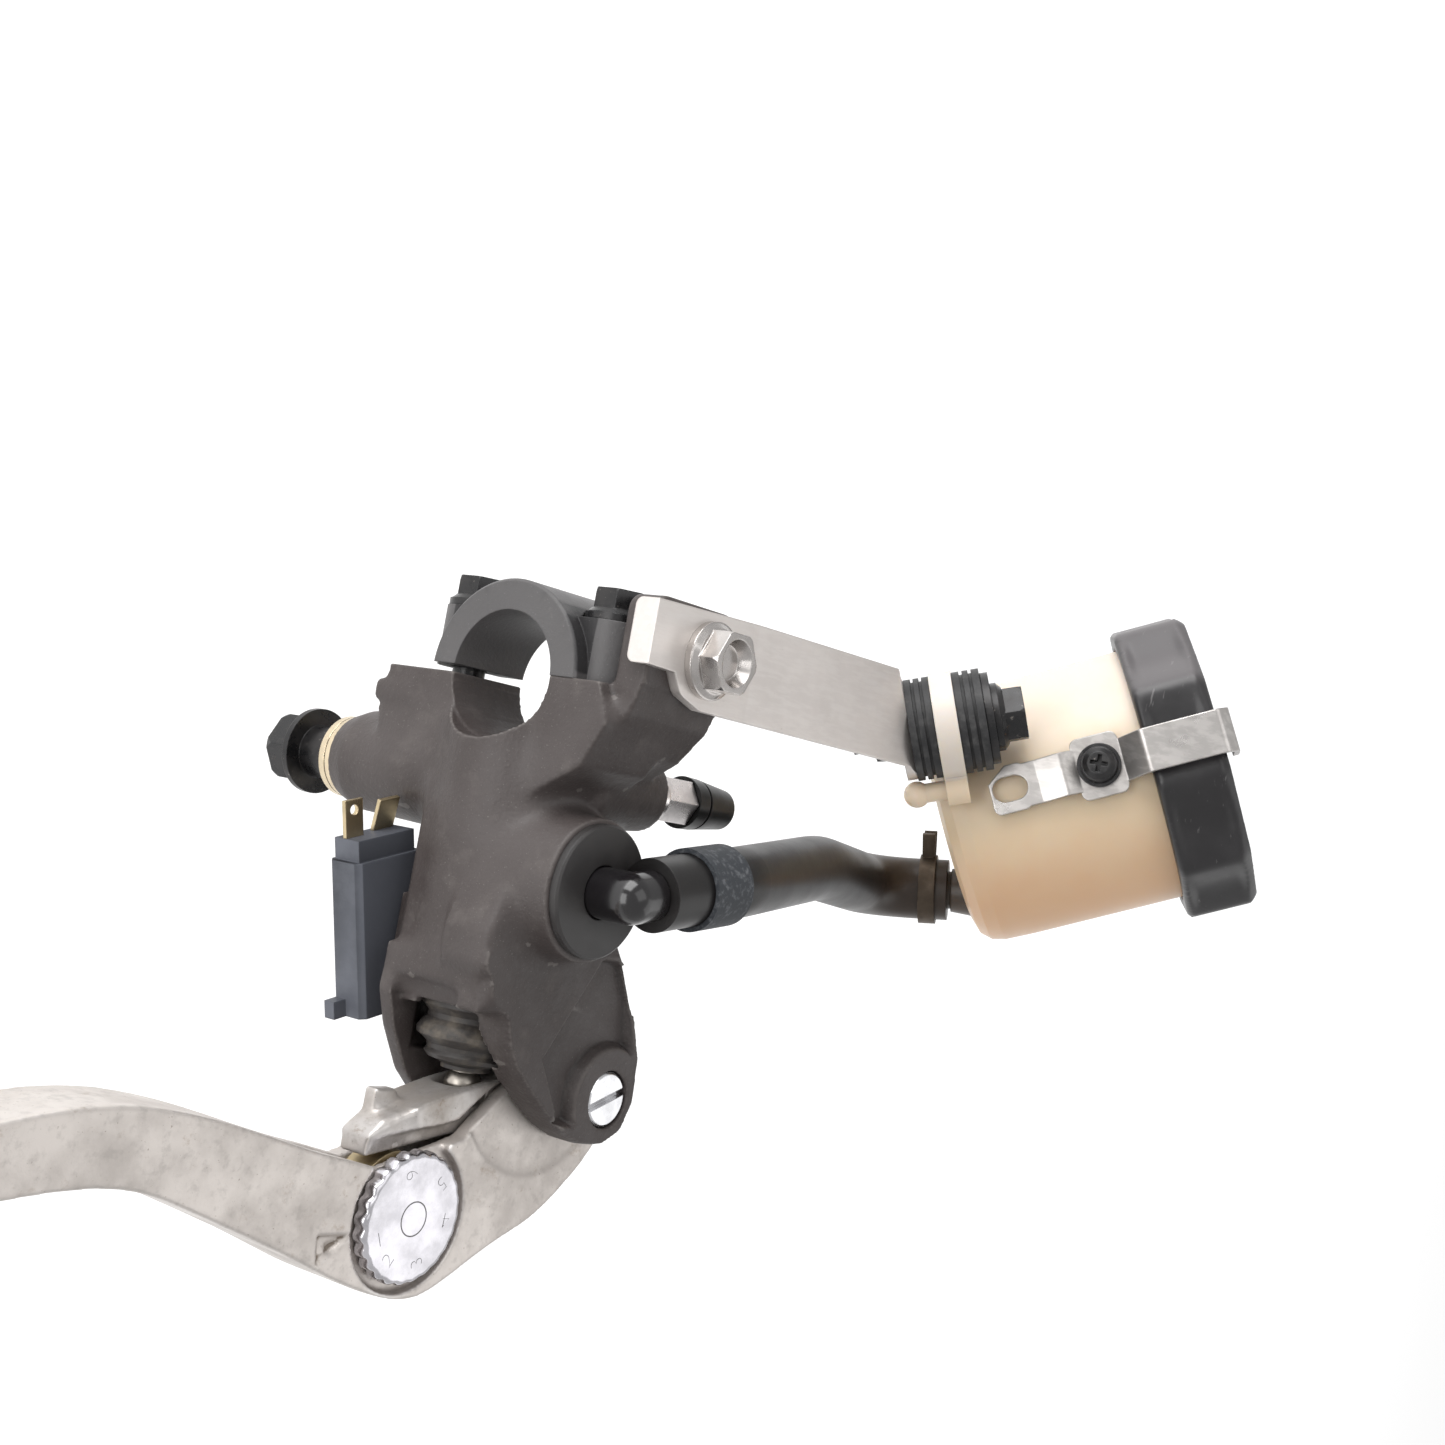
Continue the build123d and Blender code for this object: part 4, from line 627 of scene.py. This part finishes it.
# --------------------------------------------------------------------------- casting
BAR_R = 11.1                    # handlebar bore, along X
CLAMP_FACE = 0.7                # clamp faces, this far each side of the bar's axis
CLAMP_HALF = 9.6                # their reach along the bar
PORT_Y = 33.6                   # reservoir port, along Z
OUTLET_Y = 18.2                 # hose outlet, along Z
OUTLET_FACE = -39.3
BRACKET_SEAT = 29.0
BLEED_Y, BLEED_Z = 16.0, 9.0    # bleeder seat, along X
STUB_X, STUB_Y = 5.4, 6.6       # small stub on the underside, along Z
PIN = (-22.5, 70.3)             # lever pivot, along Z
EAR = 14.6                      # outer face of the upper ear
PAD_R = 9.2                     # raised pad round the pivot
SINK = 2.3                      # depth of the upper ear's relief
POCKET = [(-15.4, 44.0), (-21.5, 46.5), (-25.2, 53.0), (-27.2, 62.0), (-26.0, 75.0), (-9.0, 75.0),
          (-8.6, 72.4), (-2.8, 63.4)]


def around(x, y, centre_x, centre_y):
    return np.hypot(x - centre_x, y - centre_y)


def rough_skin(x, y, z):
    """1 on the casting's rough skin, 0 on its bores, seats and machined faces."""
    bore = around(x, z, 0, 0)
    free = step(around(y, z, 0, 0), 11.6, 13.2)
    # each guard holds the skin still near an axis, as far along it as the feature goes
    guards = (
        (bore, 9.9, 11.2, y, 15.0, 14.0),                               # cylinder bore
        (around(x, y, 0, PORT_Y), 13.6, 14.4, z, 20.6, 19.6),           # reservoir port
        (around(x, y, 0, OUTLET_Y), 9.6, 10.4, z, -38.0, -37.0),        # hose outlet
        (around(y, z, BLEED_Y, BLEED_Z), 7.0, 8.0, x, -22.0, -20.5),    # bleeder seat
    )
    for radius, near, far, height, start, end in guards:
        free *= np.maximum(step(radius, near, far), step(height, start, end))
    free *= 1 - step(y, 55.5, 56.5) * (1 - step(np.abs(z), 7.9, 8.6))   # between the ears
    free *= np.maximum(step(bore, 10.1, 10.8), step(y, 55.5, 54.5))     # mouth of the bore
    free *= step(around(x, y, *PIN), 5.8, 6.8)
    free *= step(z, 28.0, 27.0)                                         # bracket's seat
    free *= np.maximum(step(np.abs(y), 1.0, 2.2), step(np.abs(x), 9.2, 10.5))
    free *= step(z, -14.4, -13.4) * (y > 40) + (y <= 40)                # lower ear
    return free


def sink_pocket(s):
    """The relief on the upper ear, with its ridge and the pad round the pivot."""
    n = s.normals()
    x, y, z = s.v.T
    pin = around(x, y, *PIN)
    top = (n[:, 2] > 0.55) & (z > EAR - 2.6) & (y > 46.0) & (pin > 5.9)
    edge = np.maximum(inside(x, y, POCKET), PAD_R - pin)
    aim = EAR - SINK * step(-edge, -0.1, 0.9)
    blend = step(z, EAR - 2.2, EAR - 1.5) * step(around(x, y, 0, PORT_Y), 14.0, 17.0)
    s.v[top, 2] = (z + (aim - z) * blend)[top]


def machine_faces(s):
    """Put the bar's bore and the flat faces back where the cutters leave them."""
    x, y, z = s.v.T
    r = np.hypot(y, z)
    near = (np.abs(r - BAR_R) < NEAR_FACE) & (np.abs(x) < 8.9)
    s.v[near, 1] *= BAR_R / r[near]
    s.v[near, 2] *= BAR_R / r[near]
    s.flatten(1, CLAMP_FACE, (z < -9) & (np.abs(x) < CLAMP_HALF))
    s.flatten(1, -CLAMP_FACE, (z > 9) & (np.abs(x) < CLAMP_HALF))
    s.flatten(2, OUTLET_FACE)
    s.flatten(2, BRACKET_SEAT)


def casting():
    """The cylinder body as one casting with fillets in its corners."""
    ob = copy_shape("housing", "body_casting")
    s = Skin(ob, 0.45)
    x, y, z = s.v.T.copy()
    free = rough_skin(x, y, z)
    off_stub = step(around(x, y, STUB_X, STUB_Y), 4.5, 6.5) * (z < -15) + (z >= -15)
    s.fill(95, free * (0.15 + 0.85 * off_stub))
    s.soften(6, free)
    sink_pocket(s)
    s.iron(2)
    machine_faces(s)
    s.done(0.6)
    dress(ob, "cast_body", "base", "housing")


# --------------------------------------------------------------------------- lever
DIAL = (15.0, 91.2)             # reach dial's axis, along Z
POCKET_R = 12.7                 # round pocket of the blade that the dial lies in
POCKET_FLOOR = 5.25
INDEX = [(34.8, 93.0), (27.4, 93.4), (34.0, 98.0)]      # mark that the dial is read against
INDEX_SINK = 0.8


def off_pin(x, y):
    """1 away from the pivot's bore, 0 at it."""
    return step(around(x, y, *PIN), 5.2, 6.4)


def knocker_shape():
    """The forged arm that pushes the piston, with its edges rounded."""
    ob = copy_shape("knocker", "knocker_forging")
    s = Skin(ob, 0.3)
    x, y, _ = s.v.T.copy()
    free = off_pin(x, y)
    s.fill(40, free)
    s.soften(7, free)
    s.iron(2)
    s.done(0.5)
    dress(ob, "knocker_alloy", "lever", "knocker")


def blade_shape():
    """The lever's blade, with a round pocket for the dial and a sunk index mark."""
    ob = copy_shape("lever_blade", "lever_blade_cast")
    cut(ob, round_bar((*DIAL, POCKET_FLOOR), (0, 0, 1), POCKET_R, 6.0))
    s = Skin(ob, 0.42)
    x, y, _ = s.v.T.copy()
    free = off_pin(x, y)
    free *= np.maximum(step(around(x, y, *DIAL), 12.4, 13.4), 0.25)
    s.fill(4, free)
    s.soften(3, free)
    x, y, z = s.v.T
    mark = (z > 6.4) & (s.normals()[:, 2] > 0.6)
    s.v[mark, 2] -= INDEX_SINK * step(-inside(x, y, INDEX), -0.1, 0.35)[mark]
    s.iron(1)
    s.done(0.5)
    dress(ob, "lever_alloy", "blade", "lever_blade")


# --------------------------------------------------------------------------- dial
NUMBERS = (("1", 24), ("2", 57), ("3", 110), ("4", 177), ("5", 228), ("6", 288))   # and degrees
NUMBER_HIGH = 3.9
NUMBER_R = 7.7                  # how far the numbers sit from the dial's axis
MARKS_Z = 8.42                  # just proud of the dial's face
RING_IN, RING_OUT = 2.72, 2.95
RING_SIDES = 64
FLUTES = 24
HEAD_SIDES = 240
# from the middle of the face to the middle of the back: radius, height, share of a flute's depth
HEAD = [(0.0, 8.4, 0.0), (4.0, 8.4, 0.0), (8.0, 8.4, 0.0), (9.9, 8.38, 0.08), (10.6, 8.25, 0.25),
        (11.0, 7.85, 0.7), (11.1, 7.2, 1.0), (11.1, 6.0, 1.0), (10.9, 5.55, 1.0), (10.3, 5.4, 0.6),
        (6.0, 5.4, 0.0), (0.0, 5.4, 0.0)]


def on_dial(r, q, z):
    """A point in metres, at radius r and angle q of the dial's axis."""
    return Vector((DIAL[0] + r * math.cos(q), DIAL[1] + r * math.sin(q), z)) * MM


def number_mesh(text, degrees):
    """One flat number, which reads from the rim inwards."""
    curve = bpy.data.curves.new("n", "FONT")
    curve.body = text
    curve.size = NUMBER_HIGH * MM
    curve.align_x = "CENTER"
    curve.align_y = "CENTER"
    curve.offset = -0.00014     # thins the strokes
    ob = new_object("n", curve)
    graph = bpy.context.evaluated_depsgraph_get()
    me = bpy.data.meshes.new_from_object(ob.evaluated_get(graph))
    q = math.radians(degrees)
    turn = Matrix.Rotation(q - math.pi, 4, "Z")
    me.transform(Matrix.Translation(on_dial(NUMBER_R, q, MARKS_Z)) @ turn)
    bpy.data.objects.remove(ob)
    return me


def dial_marks():
    """Thin numbers 1 to 6 and a ring on the dial's face."""
    bits = [number_mesh(text, degrees) for text, degrees in NUMBERS]
    bm = bmesh.new()
    for me in bits:
        bm.from_mesh(me)
        bpy.data.meshes.remove(me)
    for k in range(RING_SIDES):
        corners = ((RING_IN, k), (RING_OUT, k), (RING_OUT, k + 1), (RING_IN, k + 1))
        bm.faces.new([bm.verts.new(on_dial(r, 2 * math.pi * j / RING_SIDES, MARKS_Z))
                      for r, j in corners])
    me = mesh_from(bm, "dial_numbers")
    ob = new_object("dial_numbers", me)
    t = Tree("dial_ink")
    t.bumps([(t.noise(1800, 3, 0.5), 0.1, 0.0001)])
    me.materials.append(t.finish(t.mix(t.noise(900), (0.10, 0.10, 0.10), (0.20, 0.19, 0.19)), 0.5, 0.3))
    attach(ob, "dial")


def head_ring(bm, r, height, share):
    """One ring of the dial's skin, or a single point on its axis."""
    if r == 0:
        return [bm.verts.new(Vector((*DIAL, height)) * MM)]
    ring = []
    for k in range(HEAD_SIDES):
        q = 2 * math.pi * k / HEAD_SIDES
        wave = (0.5 - 0.5 * math.cos(q * FLUTES)) ** 1.4
        ring.append(bm.verts.new(on_dial(r - 0.5 * share * wave, q, height)))
    return ring


def dial_shape():
    """The dial's fluted head as one turned skin, with its shaft."""
    bm = bmesh.new()
    rings = [head_ring(bm, *row) for row in HEAD]
    for a, b in zip(rings, rings[1:]):
        for k in range(HEAD_SIDES):
            j = (k + 1) % HEAD_SIDES
            if len(a) == 1:
                bm.faces.new((a[0], b[k], b[j]))
            elif len(b) == 1:
                bm.faces.new((a[j], a[k], b[0]))
            else:
                bm.faces.new((a[k], b[k], b[j], a[j]))
    bmesh.ops.recalc_face_normals(bm, faces=bm.faces)
    shaft = round_bar((*DIAL, -9.2), (0, 0, 1), 2.4, 14.9, 48)
    bm.from_mesh(shaft.data)
    bpy.data.objects.remove(shaft)
    me = mesh_from(bm, "dial_head")
    for p in me.polygons:
        p.use_smooth = True
    dress(new_object("dial_head", me), "dial_chrome", "dial", "adjuster_dial")


# --------------------------------------------------------------------------- reservoir cap
FACETS = 10
FACET_DIP = 1.1                 # how far the middle of a facet lies in
GRIP_LOW, GRIP_HIGH = 43.2, 56.6        # the gripped band, measured up the reservoir's axis


def cap_shape():
    """The screw cap, with shallow hollow facets round its side."""
    ob = copy_shape("reservoir_cap", "reservoir_cap_moulded")
    s = Skin(ob, 0.5)
    n = np.array(RES_N)
    u = np.array(RES_N.orthogonal().normalized())
    w = np.cross(n, u)
    p = s.v - np.array(RES_BASE) / MM
    h, a, b = p @ n, p @ u, p @ w
    r = np.hypot(a, b)
    angle = np.arctan2(b, a)
    # the corners between the facets are where the side already reaches furthest out
    side = (np.abs(s.normals() @ n) < 0.6) & (r > 27.5)
    phase = np.angle(np.sum(r[side] * np.exp(1j * FACETS * angle[side])))
    hollow = 0.5 - 0.5 * np.cos(FACETS * angle - phase)
    band = step(h, GRIP_LOW, 45.5) * (1 - step(h, 53.5, GRIP_HIGH))
    dip = FACET_DIP * hollow * band * step(r, 27.0, 28.5)
    radial = (np.outer(a, u) + np.outer(b, w)) / (r[:, None] + 1e-9)
    s.v -= radial * dip[:, None]
    s.soften(2, step(r, 27.0, 28.0))
    s.iron(2)
    s.done(0.5)
    dress(ob, "cap_plastic", "cap", "reservoir_cap")


casting()
knocker_shape()
blade_shape()
dial_shape()
dial_marks()
cap_shape()

# --------------------------------------------------------------------------- stage
FLOOR_DROP = 0.06               # metres from the part's lowest point to the floor
FLOOR_HALF = 6.0
FLOOR_GLOW = 0.36
STUDIO_LIGHT = 0.62
MIDDLE = (-0.02, 0.03, 0.0)     # what most of the lamps look at


def floor():
    """A plain pale floor that glows a little, so that it stays free of hard shadows."""
    bm = bmesh.new()
    bmesh.ops.create_grid(bm, x_segments=2, y_segments=2, size=FLOOR_HALF)
    ob = new_object("floor", mesh_from(bm, "floor"))
    ob.location = (0, 0, CAD_BOX[0][2] - FLOOR_DROP)
    t = Tree("floor_paint")
    t.shader.inputs["Emission Color"].default_value = (1, 1, 1, 1)
    t.shader.inputs["Emission Strength"].default_value = FLOOR_GLOW
    ob.data.materials.append(t.finish((0.86, 0.86, 0.86), 0.9, 0.0, 0.2))


def studio():
    """Even white light from all round."""
    world = bpy.data.worlds.new("studio")
    scene.world = world
    world.use_nodes = True
    background = world.node_tree.nodes["Background"]
    background.inputs["Color"].default_value = (1, 1, 1, 1)
    background.inputs["Strength"].default_value = STUDIO_LIGHT


def lamp(name, place, target, energy, size):
    """A square lamp that looks at target."""
    data = bpy.data.lights.new(name, "AREA")
    data.energy = energy
    data.size = size
    ob = new_object(name, data)
    ob.location = place
    ob.rotation_euler = (Vector(target) - Vector(place)).to_track_quat("-Z", "Y").to_euler()


floor()
studio()
lamp("key", (0.50, -0.85, 0.05), MIDDLE, 13.0, 0.9)
lamp("side", (1.05, 0.10, -0.05), MIDDLE, 7.0, 0.8)
lamp("top", (0.15, -0.35, 1.0), MIDDLE, 2.0, 0.8)
lamp("back", (-0.57, 0.27, 0.56), (0.01, 0.09, 0.0), 0.95, 0.62)
